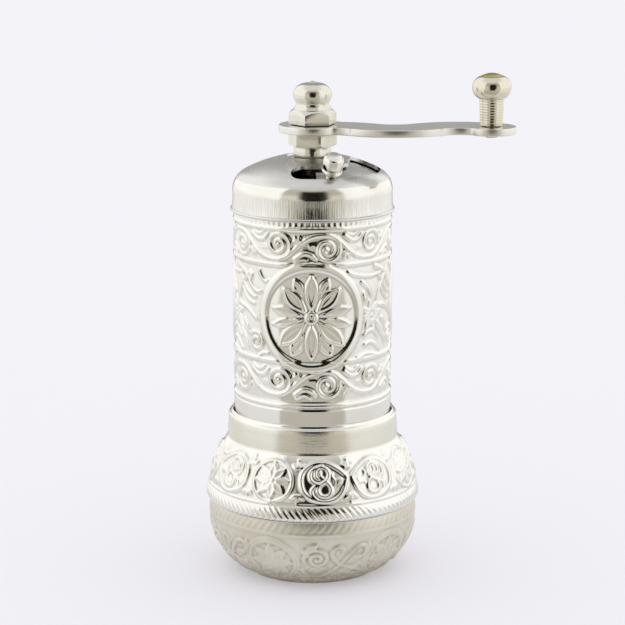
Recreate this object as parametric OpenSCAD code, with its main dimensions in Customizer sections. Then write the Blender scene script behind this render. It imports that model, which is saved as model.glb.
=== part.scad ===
// Hand-crank spice grinder: a slim cranked mill that plugs into a bulbous two-part spice pot.
// Origin at the centre of the foot, +Z up, the crank arm points along +X.

/* [Spice cup] */
// Height of the cup from the foot to the seam
cup_h = 16.3; // [12:0.1:22]
// Radius of the flat foot
foot_r = 14.5; // [10:0.1:18]
// How far the cup's side bulges beyond a straight cone
cup_bulge = 3.0; // [1:0.1:4]
// Wall and floor thickness of the cup
cup_wall = 1.0; // [0.8:0.1:1.5]
// Height of the spigot that plugs into the bell's rim
spigot_h = 2.6; // [1.5:0.1:4]

/* [Bell] */
// Height of the bell from its rim to the lip of its collar
bell_h = 19.5; // [16:0.1:26]
// Outer radius of the rope rim
rim_r = 23.5; // [22.5:0.1:27]
// How far the rope rim stands proud of the cup's seam
rim_step = 1.0; // [0.7:0.05:1.2]
// Height of the rope rim
rim_h = 3.4; // [2.6:0.1:5]
// Thickness of the rope rim
rim_wall = 1.9; // [1.4:0.1:2.4]
// How far the rope rim is rounded outwards
rim_bulge = 0.4; // [0.1:0.05:0.8]
// How far the bell's side bulges beyond a straight cone
bell_bulge = 0.7; // [0.2:0.1:2]
// Wall thickness of the bell
bell_wall = 1.0; // [0.8:0.1:1.5]
// Height of the plain collar
collar_h = 6.1; // [4:0.1:7]
// Wall of the collar at its foot
collar_wall = 1.52; // [1.2:0.02:2.4]
// How much the collar tapers in towards its lip
collar_taper = 0.4; // [0:0.05:0.6]
// Width of the lead-in chamfer inside the lip
lip_lead = 0.4; // [0.1:0.05:0.6]
// Thickness of the ledge that the tube stands on
ledge_h = 1.2; // [0.8:0.1:2]

/* [Mill tube] */
// Outer radius of the tube
tube_r = 16.9; // [15:0.1:17.6]
// Wall thickness of the tube
tube_wall = 1.1; // [0.9:0.05:1.5]
// Length of the tube from its lower end to the lid's seat
tube_len = 51.6; // [46:0.1:80]
// Depth of the tube in the collar
tube_plug = 8.2; // [6.5:0.1:9.5]
// Height of the spigot inside the lid
tube_spigot_h = 4.2; // [2.5:0.1:5.5]
// Radius of the half-round rings around the tube
ring_r = 0.55; // [0.3:0.05:0.8]
// How far the rings stand proud of the tube
ring_proud = 0.15; // [0.05:0.05:0.3]
// Depth of the decorated field between the rings
field_depth = 0.2; // [0.05:0.05:0.3]
// Distance from the lid's seat to the top ring
top_ring_drop = 1.4; // [1:0.1:3]
// Height of each narrow frieze
frieze_h = 7.6; // [5:0.1:10]
// Height of the lower frieze
low_frieze_h = 9.5; // [5:0.1:12]
// Height of the middle field
field_h = 20.7; // [14:0.1:22]

/* [Lid] */
// Outer radius of the lid's skirt
lid_r = 17.3; // [17.1:0.05:18]
// Sheet thickness of the dome
lid_wall = 0.7; // [0.5:0.05:0.9]
// Height from the skirt's edge to the shoulder before it is rounded
skirt_h = 7.0; // [6.6:0.05:9]
// Radius of the spherical dome
dome_r = 31.5; // [27:0.1:40]
// Rounding of the shoulder
shoulder_r = 4.4; // [4:0.1:4.8]
// Height of the bead on the skirt's edge
bead_h = 0.8; // [0.5:0.1:1.2]
// How far the bead stands proud of the skirt
bead_proud = 0.3; // [0.1:0.05:0.5]
// Radius of the flat seat pressed into the middle of the dome
seat_r = 5.2; // [4.8:0.1:5.6]
// Depth of that seat below the top of the dome
seat_drop = 1.4; // [1:0.05:1.6]

/* [Filler] */
// Outer radius of the filler opening
slot_r = 14.5; // [14:0.1:14.5]
// Width of the opening's narrow end, where the knob slides
slot_w = 5.0; // [4.9:0.1:5.4]
// Width of the opening's wide end
window_w = 6.5; // [6.3:0.1:6.8]
// Step from the window's outer edge in to the slot's
slot_inset = 0.3; // [0.2:0.05:0.4]
// Angle of the opening's first end line, from +X
slot_from = -100; // [-106:1:-97]
// Angle where the opening widens, from +X
window_from = -20; // [-26:1:-14]
// Angle of the opening's last end line, from +X
slot_to = 8; // [2:1:12]
// Angle of the shutter's leading edge as it stands, from +X
shutter_from = -86; // [-92:1:-82]
// Angle that the shutter covers
shutter_span = 148; // [146:1:160]
// Sheet thickness of the shutter
shutter_wall = 0.7; // [0.5:0.05:0.9]
// Gap between the dome and the shutter
shutter_gap = 0.45; // [0.3:0.05:0.6]
// How far the shutter laps past the opening's outer edge
shutter_lap = 0.7; // [0.5:0.1:0.8]
// Distance of the shutter's knob from the axis
grip_at = 12.1; // [11.9:0.1:12.3]
// Angle from the shutter's leading edge to its knob
grip_lag = 14.5; // [13:0.5:20]
// Radius of the shutter's knob
grip_r = 2.27; // [1.8:0.05:2.5]
// Height of the shutter's knob above the shutter
grip_h = 5.6; // [4.5:0.1:6]
// Radius of the stem under the shutter's knob
grip_stem_r = 1.1; // [0.8:0.05:1.4]

/* [Shaft] */
// Radius of the shaft
shaft_r = 3.0; // [2.6:0.05:3.2]
// Radius of the shaft's threaded upper end
stud_r = 2.5; // [2:0.05:2.55]
// Half the width across the flats that drive the crank arm
flat_half = 2.0; // [1.6:0.05:2.1]
// Wall of the hollow rivet that the shutter turns on
eyelet_wall = 0.8; // [0.6:0.05:1]
// Width of the rivet's rolled flange
eyelet_flange = 1.1; // [0.8:0.05:1.3]
// Thickness of the spring washer under the shutter
washer_t = 0.4; // [0.3:0.05:0.6]

/* [Crank] */
// Distance from the shaft to the crank's knob, along X
crank_reach = 37.75; // [30:0.05:48]
// Thickness of the crank arm
arm_t = 1.55; // [1.2:0.05:2.2]
// Width of the crank arm
arm_w = 9.8; // [8:0.1:11]
// Radius of the arm's hub
hub_r = 7.2; // [6.4:0.1:8.5]
// Radius of the arm's far end
arm_end_r = 5.3; // [4.6:0.1:6]
// Sideways sway of the arm's S curve
arm_sway = 2.2; // [1.4:0.1:2.8]
// Offset of the S curve's crests from the shaft
arm_shift = -0.9; // [-2:0.1:0]
// Distance from the shaft to the first crest of the S curve
arm_crest = 4.0; // [3:0.1:6]

/* [Nuts] */
// Width across the flats of both nuts
nut_af = 9.1; // [8.4:0.1:10]
// Height of the lower nut's hexagon
low_hex_h = 2.9; // [2.4:0.1:4]
// Radius of the lower nut's round collar
nut_collar_r = 3.95; // [3.7:0.05:4.3]
// Height of the lower nut's round collar
nut_collar_h = 3.0; // [2.6:0.1:4]
// Height of the cap nut's hexagon
cap_hex_h = 3.35; // [2.8:0.05:4]
// Radius of the cap nut's neck
cap_neck_r = 3.5; // [3.2:0.05:3.8]
// Radius of the cap nut's ball
cap_ball_r = 4.06; // [3.9:0.02:4.4]
// Height from the hexagon to the widest part of the ball
cap_ball_up = 3.35; // [3:0.05:4]
// Height of the ball's crown above its widest part
cap_crown_h = 2.1; // [1.6:0.05:2.6]
// Width of the bevel on the nuts' corners
nut_bevel = 0.5; // [0.3:0.05:0.7]
// Angle of a corner of the lower nut, from +X
low_nut_turn = -70; // [-90:1:-31]
// Angle of a corner of the cap nut, from +X
cap_nut_turn = -107; // [-120:1:-61]

/* [Crank knob] */
// Radius of the handle at its foot
grip_foot_r = 2.43; // [2.3:0.01:2.8]
// Radius of the handle below the ball
grip_neck_r = 2.6; // [2.3:0.01:3]
// Height of the handle below the ball
grip_neck_h = 5.7; // [4:0.1:8]
// Radius of the knob's ball
ball_r = 4.16; // [3.8:0.02:4.8]
// Height of the knob's ball
ball_h = 5.3; // [4.6:0.1:6.5]
// Radius of the rivet that the knob turns on
rivet_r = 1.5; // [1.2:0.05:1.6]
// Radius of the rivet's upset heads
rivet_head_r = 2.2; // [1.9:0.05:2.3]
// Height of the rivet's lower head
rivet_foot_h = 0.8; // [0.5:0.1:1.2]
// Thickness of the rivet's upper head
rivet_top_h = 0.6; // [0.4:0.05:0.9]

/* [Burrs] */
// Height of the burr ring
burr_h = 13; // [10:0.5:16]
// Wall of the burr ring at its lower edge
ring_wall_low = 5.2; // [4.8:0.1:6.4]
// Wall of the burr ring at its throat
ring_wall_top = 7.2; // [6.8:0.1:8]
// Height of the funnel above the throat
funnel_h = 3; // [2:0.1:4]
// Height of the burr ring above the end of the tube
burr_inset = 0.6; // [0.2:0.1:1.5]
// Height of the cone above the foot of the burr ring
cone_lift = 1.0; // [0.6:0.1:2]
// Running gap between the burrs at their lower edge
burr_gap = 0.3; // [0.2:0.05:0.6]
// Radius of the burr cone at its top
cone_top_r = 4.8; // [4.4:0.1:6]
// Number of crushing flutes on the cone
cone_flutes = 9; // [6:1:12]
// Number of fine grooves in the ring
ring_grooves = 16; // [10:1:24]
// Depth of the crushing flutes
flute_depth = 1.3; // [0.6:0.1:1.4]
// Depth of the fine grooves
groove_depth = 0.8; // [0.4:0.1:1]
// Sideways lean of the teeth from foot to top, in degrees round the axis
tooth_lean = 32; // [10:1:45]
// Radius of the cross pin that holds the cone on the shaft
pin_r = 0.8; // [0.5:0.05:1]

/* [Bearings] */
// Depth of the upper guide bar below the lid's seat
guide_drop = 4.2; // [3:0.1:8]
// Thickness of the upper guide bar
guide_t = 2.4; // [1.6:0.1:4]
// Width of the upper guide bar
guide_w = 10.5; // [9.5:0.1:12]
// Wall of the guide's bush
bush_wall = 1.2; // [0.8:0.1:1.6]
// Thickness of the lower bridge
bridge_t = 2.2; // [1.6:0.1:3]
// Width of the lower bridge
bridge_w = 9.0; // [8:0.1:11]
// Height of the boss under the bridge
boss_h = 2.0; // [1.5:0.1:3]
// Radius of the boss under the bridge
boss_r = 4.2; // [3.8:0.1:5]
// Distance of the bridge's screws from the tube's bore
screw_inset = 2.7; // [2.5:0.05:3]
// Radius of the bridge's screws
screw_r = 1.0; // [0.8:0.05:1.2]
// Length of the screws in the burr ring
screw_bite = 4.5; // [3:0.1:7]
// Radius of the grinding adjuster's thread
adjust_r = 2.5; // [2.2:0.1:2.8]
// Radius of the adjuster's milled head
adjust_head_r = 5.4; // [4.6:0.1:6.5]
// Height of the adjuster's milled head
adjust_head_h = 2.5; // [1.8:0.1:3.5]
// Number of finger notches round the adjuster's head
adjust_notches = 12; // [8:1:16]
// Height of the adjuster's lock nut
lock_nut_h = 2.2; // [1.6:0.1:3]
// Radius of the thrust ball
thrust_r = 1.6; // [1.3:0.05:1.9]
// Depth of the ball in each of its seats
thrust_seat = 1.0; // [0.7:0.05:1.1]

/* [Fits] */
// Radial clearance of the pull-apart slip fits
slip = 0.08; // [0.04:0.01:0.1]
// Radial clearance of the turning fits
run = 0.06; // [0.02:0.01:0.1]
// Radial clearance of pressed and threaded seats
press = 0.02; // [0.01:0.01:0.04]
// End float of the turning pieces
float = 0.12; // [0.08:0.02:0.25]

/* [Hidden] */
$fn = 72;
// Overshoot of cuts past the faces that they open
over = 1;
// Overlap of a slot's round ends with its sides
end_lap = 0.02;

// Heights of the seams, from the foot up
bell_z = cup_h;
lip_z = bell_z + bell_h;
collar_z = lip_z - collar_h;
tube_z = lip_z - tube_plug;
lid_z = tube_z + tube_len;
shoulder_z = lid_z + skirt_h;

// Radii of the base's fits
rim_bore = rim_r - rim_wall;
cup_r = rim_r - rim_step;
cup_spigot_r = rim_bore - slip;
collar_bore = tube_r + slip;
collar_r = collar_bore + collar_wall;
rim_top_r = rim_r - rim_bulge;

// The tube's bore, its lid spigot and its rings
tube_bore = tube_r - tube_wall;
lid_bore = lid_r - lid_wall;
tube_spigot_r = lid_bore - press;
ring_z = [lid_z - top_ring_drop,
    lid_z - top_ring_drop - frieze_h,
    lid_z - top_ring_drop - frieze_h - field_h,
    lid_z - top_ring_drop - frieze_h - field_h - low_frieze_h];

// The dome's sphere, its pressed seat and the rivet through it
dome_z = shoulder_z - sqrt(pow(dome_r, 2) - pow(lid_r, 2));
apex_z = dome_z + dome_r;
seat_z = apex_z - seat_drop;
seat_under = seat_z - lid_wall;
slot_z = shoulder_z - shoulder_r;
slot_h = apex_z + over - slot_z;
eyelet_bore = shaft_r + run;
eyelet_r = eyelet_bore + eyelet_wall;

// The shutter's sphere, hub and retaining stack
shutter_r = dome_r - lid_wall - shutter_gap;
shutter_hub_z = seat_under - float - shutter_wall;
washer_z = shutter_hub_z - float - washer_t;
flange_t = lid_wall;
flange_z = washer_z - flange_t;
shutter_inner = seat_r + lid_wall + shutter_gap;
grip_angle = shutter_from + grip_lag;
grip_tilt = asin(grip_at / shutter_r);

// The crank's stack on the shaft
nut_z = seat_z + float;
low_hex_z = nut_z + nut_collar_h;
arm_z = low_hex_z + low_hex_h;
cap_z = arm_z + arm_t;
cap_hex_top = cap_z + cap_hex_h;
ball_mid_z = cap_hex_top + cap_ball_up;
cap_top = ball_mid_z + cap_crown_h;
stud_top = ball_mid_z - cap_crown_h / 2;

// The arm's S curve is three tangent arcs that swing by arm_sway
half_wave = (crank_reach - arm_crest) / 2.5;
wave_r = (pow(half_wave / 2, 2) + pow(arm_sway, 2)) / (2 * arm_sway);
wave_half_angle = asin(half_wave / 2 / wave_r);
knob_y = arm_shift - arm_sway;
knob_z = cap_z + float;
knob_top = knob_z + grip_neck_h + ball_h;

// The burrs and the pieces under them
ring_low = tube_z + burr_inset;
ring_bore_low = tube_bore - ring_wall_low;
ring_bore_top = tube_bore - ring_wall_top;
screw_at = tube_bore - screw_inset;
cone_low = ring_low + cone_lift;
throat_h = burr_h - funnel_h;
bore_slope = (ring_bore_low - ring_bore_top) / throat_h;
cone_low_r = ring_bore_low - bore_slope * (cone_low - ring_low) - burr_gap;
cone_h = throat_h + 2;
bridge_z = ring_low - bridge_t;
boss_z = bridge_z - boss_h;
lock_z = boss_z - float - lock_nut_h;
head_z = lock_z - float - adjust_head_h;
shaft_low = cone_low;
thrust_z = shaft_low - thrust_r + thrust_seat;
tip_z = thrust_z - thrust_r + thrust_seat;
bush_r = shaft_r + run + bush_wall;
guide_z = lid_z - guide_drop - guide_t;
pin_z = cone_low + cone_h / 2;

// Points along one edge of the arm's S curve, from its first crest: bend 1 swings to -Y, the others to +Y
wave_steps = 10;
function wave_way(i) = i == 1 ? -1 : 1;
function wave_centre(i) = [arm_crest + i * half_wave, arm_shift - (i == 1 ? 2 * arm_sway - wave_r : wave_r)];
function wave_turn(i, k) = wave_way(i) * (90 + wave_half_angle - 2 * wave_half_angle * k / wave_steps);
function arm_edge(side) = [for (i = [0:2], k = [i == 0 ? wave_steps / 2 : 1:wave_steps])
    wave_centre(i) + (wave_r + wave_way(i) * side * arm_w / 2)
        * [cos(wave_turn(i, k)), sin(wave_turn(i, k))]];

// Radius and centre of the arc from p to q that bulges outwards by s, points as [radius, height]
function chord(p, q) = norm(q - p);
function arc_r(p, q, s) = (pow(chord(p, q) / 2, 2) + pow(s, 2)) / (2 * s);
function arc_centre(p, q, s) =
    (p + q) / 2 - (arc_r(p, q, s) - s) * [q[1] - p[1], p[0] - q[0]] / chord(p, q);

// Half section of a body whose side is the arc from p up to q, drawn in by inset
module arc_section(p, q, s, inset = 0) {
    c = arc_centre(p, q, s);
    intersection() {
        union() {
            translate(c) circle(arc_r(p, q, s) - inset, $fn = 180);
            translate([0, p[1]]) square([max(c[0], 0.01), q[1] - p[1]]);
        }
        translate([0, p[1]]) square([arc_r(p, q, s) + max(c[0], 0) + over, q[1] - p[1]]);
    }
}

// Half section of a ring of thickness t whose outer side is the arc from p up to q
module arc_ring(p, q, s, t) {
    intersection() {
        arc_section(p, q, s);
        translate([min(p[0], q[0]) - t, p[1]]) square([arc_r(p, q, s) + p[0], q[1] - p[1]]);
    }
}

// Rectangle in a half section, from radius a to b and height c to d
module band(a, b, c, d) {
    translate([a, c]) square([b - a, d - c]);
}

// Curved slot of width w inside radius r, with round ends, from one angle to another
module curved_slot(r, w, from, to, h) {
    rotate(from) rotate_extrude(angle = to - from) band(r - w, r, 0, h);
    for (a = [from, to])
        rotate(a) translate([r - w / 2, 0, 0]) cylinder(r = w / 2 + end_lap, h = h);
}

// Half section of a domed cap of radius r with a rounded shoulder, drawn in by t
module dome_section(t) {
    f = shoulder_r - t;
    ball = dome_r - t;
    edge = lid_r - t;
    f_z = dome_z + sqrt(pow(ball - f, 2) - pow(edge - f, 2));
    meet = (edge - f) * ball / (ball - f);
    meet_z = dome_z + sqrt(pow(ball, 2) - pow(meet, 2));
    polygon([[0, lid_z], [edge, lid_z], [edge, f_z], [meet, meet_z], [0, meet_z]]);
    intersection() {
        translate([edge - f, f_z]) circle(f);
        polygon([[edge, f_z], [edge + f, f_z], [edge + f, meet_z + f], [meet, meet_z]]);
    }
    intersection() {
        translate([0, dome_z]) circle(ball, $fn = 240);
        band(0, ball, meet_z, dome_z + ball + over);
    }
}

// Hexagonal prism whose corners are bevelled at the ends that are asked for
module hexagon(h, low_bevel, top_bevel) {
    corner = nut_af / 2 / cos(30);
    flat = corner - nut_bevel;
    drop = nut_bevel * 0.6;
    intersection() {
        cylinder(r = corner, h = h, $fn = 6);
        rotate_extrude()
            polygon([[0, 0], [low_bevel ? flat : corner, 0], [corner, low_bevel ? drop : 0],
                [corner, top_bevel ? h - drop : h], [top_bevel ? flat : corner, h], [0, h]]);
    }
}

// Ring of V grooves that lean along a cone from radius low at the foot to top at height h
// A positive way cuts into a solid cone, a negative way cuts out into the wall round it
module v_grooves(n, low, top, h, depth, lean, way) {
    foot = [low, 0, 0];
    head = [top * cos(lean), top * sin(lean), h];
    run_dir = head - foot;
    long = norm(run_dir);
    tilt = acos(run_dir[2] / long);
    swing = atan2(run_dir[1], run_dir[0]);
    open = depth * 1.4;
    for (i = [0:n - 1])
        rotate(i * 360 / n)
            translate(foot)
                rotate([0, tilt, swing])
                    rotate(lean / 2 - swing)
                        translate([0, 0, -long / 4])
                            linear_extrude(long * 1.5)
                                polygon([[-way * depth, 0], [way * depth, open], [way * depth, -open]]);
}

// Cup of the spice pot: a bowl with a flat foot and a plug-in spigot
module base_cup() {
    foot = [foot_r, 0];
    seam = [cup_r, cup_h];
    color([0.72, 0.70, 0.66])
        rotate_extrude() {
            difference() {
                arc_section(foot, seam, cup_bulge);
                intersection() {
                    arc_section(foot, seam, cup_bulge, cup_wall);
                    band(0, cup_r, cup_wall, cup_h + over);
                }
                band(0, cup_spigot_r - cup_wall, cup_h - cup_wall, cup_h + over);
            }
            band(cup_spigot_r - cup_wall, cup_spigot_r, cup_h - 2 * cup_wall, cup_h + spigot_h);
        }
}

// Upper half of the spice pot: rope rim, bulging side and the collar that takes the mill
module base_bell() {
    rim_top = [rim_top_r, bell_z + rim_h];
    rim_foot = [rim_top_r, bell_z];
    neck = [collar_r, collar_z];
    ledge_z = tube_z - ledge_h;
    color([0.80, 0.79, 0.76])
        rotate_extrude()
            difference() {
                union() {
                    arc_section(rim_foot, rim_top, rim_bulge);
                    arc_section(rim_top, neck, bell_bulge);
                    polygon([[0, collar_z], [collar_r, collar_z],
                        [collar_r - collar_taper, lip_z], [0, lip_z]]);
                }
                band(0, rim_bore, bell_z - over, bell_z + rim_h);
                intersection() {
                    arc_section(rim_top, neck, bell_bulge, bell_wall);
                    band(0, rim_bore, bell_z, ledge_z);
                }
                band(0, tube_bore + tube_wall / 4, bell_z, lip_z);
                band(0, collar_bore, tube_z, lip_z + over);
                polygon([[0, lip_z - 2 * lip_lead], [collar_bore, lip_z - 2 * lip_lead],
                    [collar_bore + lip_lead, lip_z], [collar_bore + lip_lead, lip_z + over], [0,
                        lip_z + over]]);
            }
}

// Decorated tube that holds the spices, with half-round rings round it
module body_tube() {
    color([0.82, 0.81, 0.78])
        rotate_extrude()
            difference() {
                union() {
                    band(tube_bore, tube_r, tube_z, ring_z[3]);
                    band(tube_bore, tube_r - field_depth, ring_z[3], ring_z[0]);
                    band(tube_bore, tube_r, ring_z[0], lid_z);
                    band(tube_bore, tube_spigot_r, lid_z, lid_z + tube_spigot_h);
                    for (z = ring_z)
                        translate([tube_r + ring_proud - ring_r, z]) circle(ring_r);
                }
                band(0, tube_bore, tube_z, lid_z);
            }
}

// Domed lid with its beaded skirt, filler opening and pressed seat for the shaft
module dome_lid() {
    color([0.83, 0.82, 0.79])
        difference() {
            rotate_extrude()
                difference() {
                    union() {
                        difference() {
                            dome_section(0);
                            dome_section(lid_wall);
                            band(0, lid_bore, lid_z - over, lid_z);
                        }
                        intersection() {
                            dome_section(0);
                            band(0, seat_r + lid_wall, seat_under, apex_z);
                        }
                        arc_ring([lid_r, lid_z], [lid_r, lid_z + bead_h], bead_proud, lid_wall / 2);
                    }
                    band(0, seat_r, seat_z, apex_z + over);
                    band(0, eyelet_r + press, seat_under - over, apex_z + over);
                }
            translate([0, 0, slot_z]) {
                curved_slot(slot_r - slot_inset, slot_w, slot_from, (window_from + slot_to) / 2, slot_h);
                curved_slot(slot_r, window_w, window_from, slot_to, slot_h);
            }
        }
}

// Hollow rivet in the dome's seat: it guides the shaft and carries the shutter
module pivot_eyelet() {
    color([0.78, 0.66, 0.38])
        rotate_extrude() {
            band(eyelet_bore, eyelet_r, flange_z, seat_z);
            band(eyelet_bore, eyelet_r + eyelet_flange, flange_z, flange_z + flange_t);
        }
}

// Spring washer that presses the shutter up against the seat
module shutter_washer() {
    color([0.62, 0.62, 0.60])
        translate([0, 0, washer_z])
            difference() {
                cylinder(r = eyelet_r + eyelet_flange, h = washer_t);
                translate([0, 0, -over]) cylinder(r = eyelet_r + press, h = washer_t + 2 * over);
            }
}

// Moves a piece to the knob's place on the shutter, square to its sphere
module at_grip() {
    rotate(grip_angle)
        translate([0, 0, dome_z])
            rotate([0, grip_tilt, 0])
                translate([0, 0, shutter_r]) children();
}

// Shutter under the dome: a sector of a sphere, stepped down to a flat hub
module filler_shutter() {
    hub_r = eyelet_r + eyelet_flange;
    step_r = shutter_inner + shutter_wall;
    step_top = dome_z + sqrt(pow(shutter_r, 2) - pow(step_r, 2));
    color([0.76, 0.75, 0.71])
        difference() {
            union() {
                rotate(shutter_from)
                    rotate_extrude(angle = shutter_span) {
                        intersection() {
                            difference() {
                                translate([0, dome_z]) circle(shutter_r, $fn = 240);
                                translate([0, dome_z]) circle(shutter_r - shutter_wall, $fn = 240);
                            }
                            band(step_r - shutter_wall / 2, slot_r + shutter_lap, dome_z, apex_z);
                        }
                        band(shutter_inner, step_r, shutter_hub_z, step_top);
                        band(hub_r - shutter_wall, step_r, shutter_hub_z, shutter_hub_z + shutter_wall);
                    }
                translate([0, 0, shutter_hub_z]) cylinder(r = hub_r, h = shutter_wall);
            }
            translate([0, 0, shutter_hub_z - over]) cylinder(r = eyelet_r + run, h = apex_z);
            at_grip() cylinder(r = grip_stem_r + press, h = 4 * shutter_wall, center = true);
        }
}

// Turned knob riveted to the shutter
module shutter_knob() {
    bulge_r = grip_r - 0.1;
    foot = 0.8;
    waist = foot + grip_h * 0.27;
    tail = shutter_wall + 0.1;
    color([0.80, 0.79, 0.75])
        at_grip()
            rotate_extrude() {
                band(0, grip_stem_r, -tail, waist);
                band(0, grip_stem_r + 0.5, -tail - 0.4, -tail);
                polygon([[0, foot], [grip_stem_r, foot], [bulge_r, foot + 0.9], [bulge_r, waist - 0.2],
                    [bulge_r - 0.3, waist], [0, waist]]);
                arc_section([grip_r - 0.25, waist], [grip_r - 0.25, grip_h - 0.5], 0.25);
                arc_section([grip_r - 0.25, grip_h - 0.5], [grip_r - 1.2, grip_h], 0.2);
            }
}

// Bar across the top of the tube that centres the shaft
module guide_bar() {
    color([0.60, 0.60, 0.58])
        translate([0, 0, guide_z])
            linear_extrude(guide_t)
                difference() {
                    intersection() {
                        circle(tube_bore - press);
                        square([2 * tube_bore, guide_w], center = true);
                    }
                    circle(bush_r + press);
                }
}

// Brass bush in the guide bar
module guide_bush() {
    color([0.80, 0.66, 0.32])
        translate([0, 0, guide_z])
            difference() {
                cylinder(r = bush_r, h = guide_t);
                translate([0, 0, -over]) cylinder(r = shaft_r + run, h = guide_t + 2 * over);
            }
}

// Burr ring pressed into the lower end of the tube, with leaning grooves in its bore
module burr_ring() {
    color([0.36, 0.35, 0.34])
        translate([0, 0, ring_low])
            difference() {
                cylinder(r = tube_bore - press, h = burr_h);
                translate([0, 0, -over])
                    cylinder(r1 = ring_bore_low + bore_slope * over, r2 = ring_bore_top - bore_slope * over,
                        h = throat_h + 2 * over);
                translate([0, 0, throat_h])
                    cylinder(r1 = ring_bore_top, r2 = tube_bore - tube_wall, h = funnel_h + 0.01);
                v_grooves(ring_grooves, ring_bore_low, ring_bore_top, throat_h, groove_depth,
                    -tooth_lean / 2, -1);
                for (side = [-1, 1])
                    translate([side * screw_at, 0, -over])
                        cylinder(r = screw_r + press, h = screw_bite + over);
            }
}

// Flat bridge under the burr ring, with a boss for the grinding adjuster
module burr_bridge() {
    color([0.62, 0.61, 0.58])
        difference() {
            union() {
                translate([0, 0, bridge_z])
                    linear_extrude(bridge_t)
                        intersection() {
                            circle(tube_bore - tube_wall / 2);
                            square([2 * tube_bore, bridge_w], center = true);
                        }
                translate([0, 0, boss_z]) cylinder(r = boss_r, h = boss_h);
            }
            translate([0, 0, boss_z - over]) cylinder(r = adjust_r + run, h = boss_h + bridge_t + 2 * over);
            for (side = [-1, 1])
                translate([side * screw_at, 0, bridge_z - over])
                    cylinder(r = screw_r + press, h = bridge_t + 2 * over);
        }
}

// The pair of round-headed screws that hold the bridge
module bridge_screws() {
    head_r = 2 * screw_r;
    head_h = 1.2 * screw_r;
    color([0.70, 0.70, 0.68])
        for (side = [-1, 1])
            translate([side * screw_at, 0, bridge_z])
                difference() {
                    union() {
                        cylinder(r = screw_r, h = bridge_t + screw_bite - over / 2);
                        rotate_extrude()
                            arc_section([head_r * 0.7, -head_h], [head_r, 0], head_h * 0.12);
                    }
                    translate([-head_r, -screw_r / 5, -head_h - over])
                        cube([2 * head_r, screw_r / 2.5, head_h / 2 + over]);
                }
}

// Shaft from the thrust ball up to the cap nut, with flats that drive the arm
module drive_shaft() {
    color([0.66, 0.66, 0.65])
        difference() {
            union() {
                translate([0, 0, shaft_low]) cylinder(r = shaft_r, h = nut_z - shaft_low);
                translate([0, 0, nut_z]) cylinder(r = stud_r, h = arm_z - nut_z);
                translate([0, 0, arm_z])
                    linear_extrude(stud_top - arm_z)
                        intersection() {
                            circle(stud_r);
                            square([2 * flat_half, 2 * stud_r], center = true);
                        }
            }
            translate([0, 0, thrust_z]) sphere(thrust_r + press);
            translate([0, 0, pin_z]) rotate([90, 0, 0])
                cylinder(r = pin_r + press, h = 4 * shaft_r, center = true);
        }
}

// Burr cone on the shaft, with leaning crushing flutes
module burr_cone() {
    color([0.36, 0.35, 0.34])
        translate([0, 0, cone_low])
            difference() {
                cylinder(r1 = cone_low_r, r2 = cone_top_r, h = cone_h);
                translate([0, 0, -over]) cylinder(r = shaft_r + press, h = cone_h + 2 * over);
                v_grooves(cone_flutes, cone_low_r, cone_top_r, cone_h, flute_depth, tooth_lean, 1);
                translate([0, 0, pin_z - cone_low])
                    rotate([90, 0, 0]) cylinder(r = pin_r + press, h = 4 * cone_low_r, center = true);
            }
}

// Cross pin that locks the burr cone to the shaft
module cone_pin() {
    reach = cone_top_r - flute_depth / 2;
    color([0.68, 0.68, 0.66])
        translate([0, 0, pin_z]) rotate([90, 0, 0]) cylinder(r = pin_r, h = 2 * reach, center = true);
}

// Lower nut: a hexagon on a round collar that runs on the dome's seat
module collar_nut() {
    color([0.79, 0.77, 0.68])
        difference() {
            union() {
                translate([0, 0, nut_z]) cylinder(r = nut_collar_r, h = nut_collar_h);
                translate([0, 0, low_hex_z]) rotate(low_nut_turn) hexagon(low_hex_h, true, false);
            }
            translate([0, 0, nut_z - over])
                cylinder(r = stud_r + press, h = nut_collar_h + low_hex_h + 2 * over);
        }
}

// Flat S-curved crank arm
module crank_arm() {
    color([0.80, 0.79, 0.75])
        translate([0, 0, arm_z])
            linear_extrude(arm_t)
                difference() {
                    union() {
                        circle(hub_r);
                        polygon(concat(arm_edge(-1),
                            [for (i = [len(arm_edge(1)) - 1:-1:0]) arm_edge(1)[i]]));
                        translate([crank_reach, knob_y]) circle(arm_end_r);
                    }
                    intersection() {
                        circle(stud_r + press);
                        square([2 * (flat_half + press), 3 * stud_r], center = true);
                    }
                    translate([crank_reach, knob_y]) circle(rivet_r + press);
                }
}

// Cap nut with a necked ball on top
module acorn_nut() {
    neck = [cap_neck_r, cap_hex_top + 1.2];
    belly = [cap_ball_r, ball_mid_z];
    crown = [cap_ball_r * 0.35, cap_top];
    tip_r = 0.75;
    tip_h = 0.4;
    color([0.80, 0.78, 0.70])
        difference() {
            union() {
                translate([0, 0, cap_z]) rotate(cap_nut_turn) hexagon(cap_hex_h, false, true);
                rotate_extrude() {
                    polygon([[0, cap_hex_top - nut_bevel], [nut_af / 2 - nut_bevel, cap_hex_top - nut_bevel],
                        [nut_af / 2 - nut_bevel, cap_hex_top], neck, [0, neck[1]]]);
                    arc_section(neck, belly, 0.25);
                    arc_section(belly, crown, 0.9);
                    arc_section([tip_r, cap_top - tip_h], [tip_r / 4, cap_top + tip_h], tip_r / 5);
                }
            }
            translate([0, 0, cap_z - over])
                cylinder(r = stud_r + press, h = stud_top + float - cap_z + over);
        }
}

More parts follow.
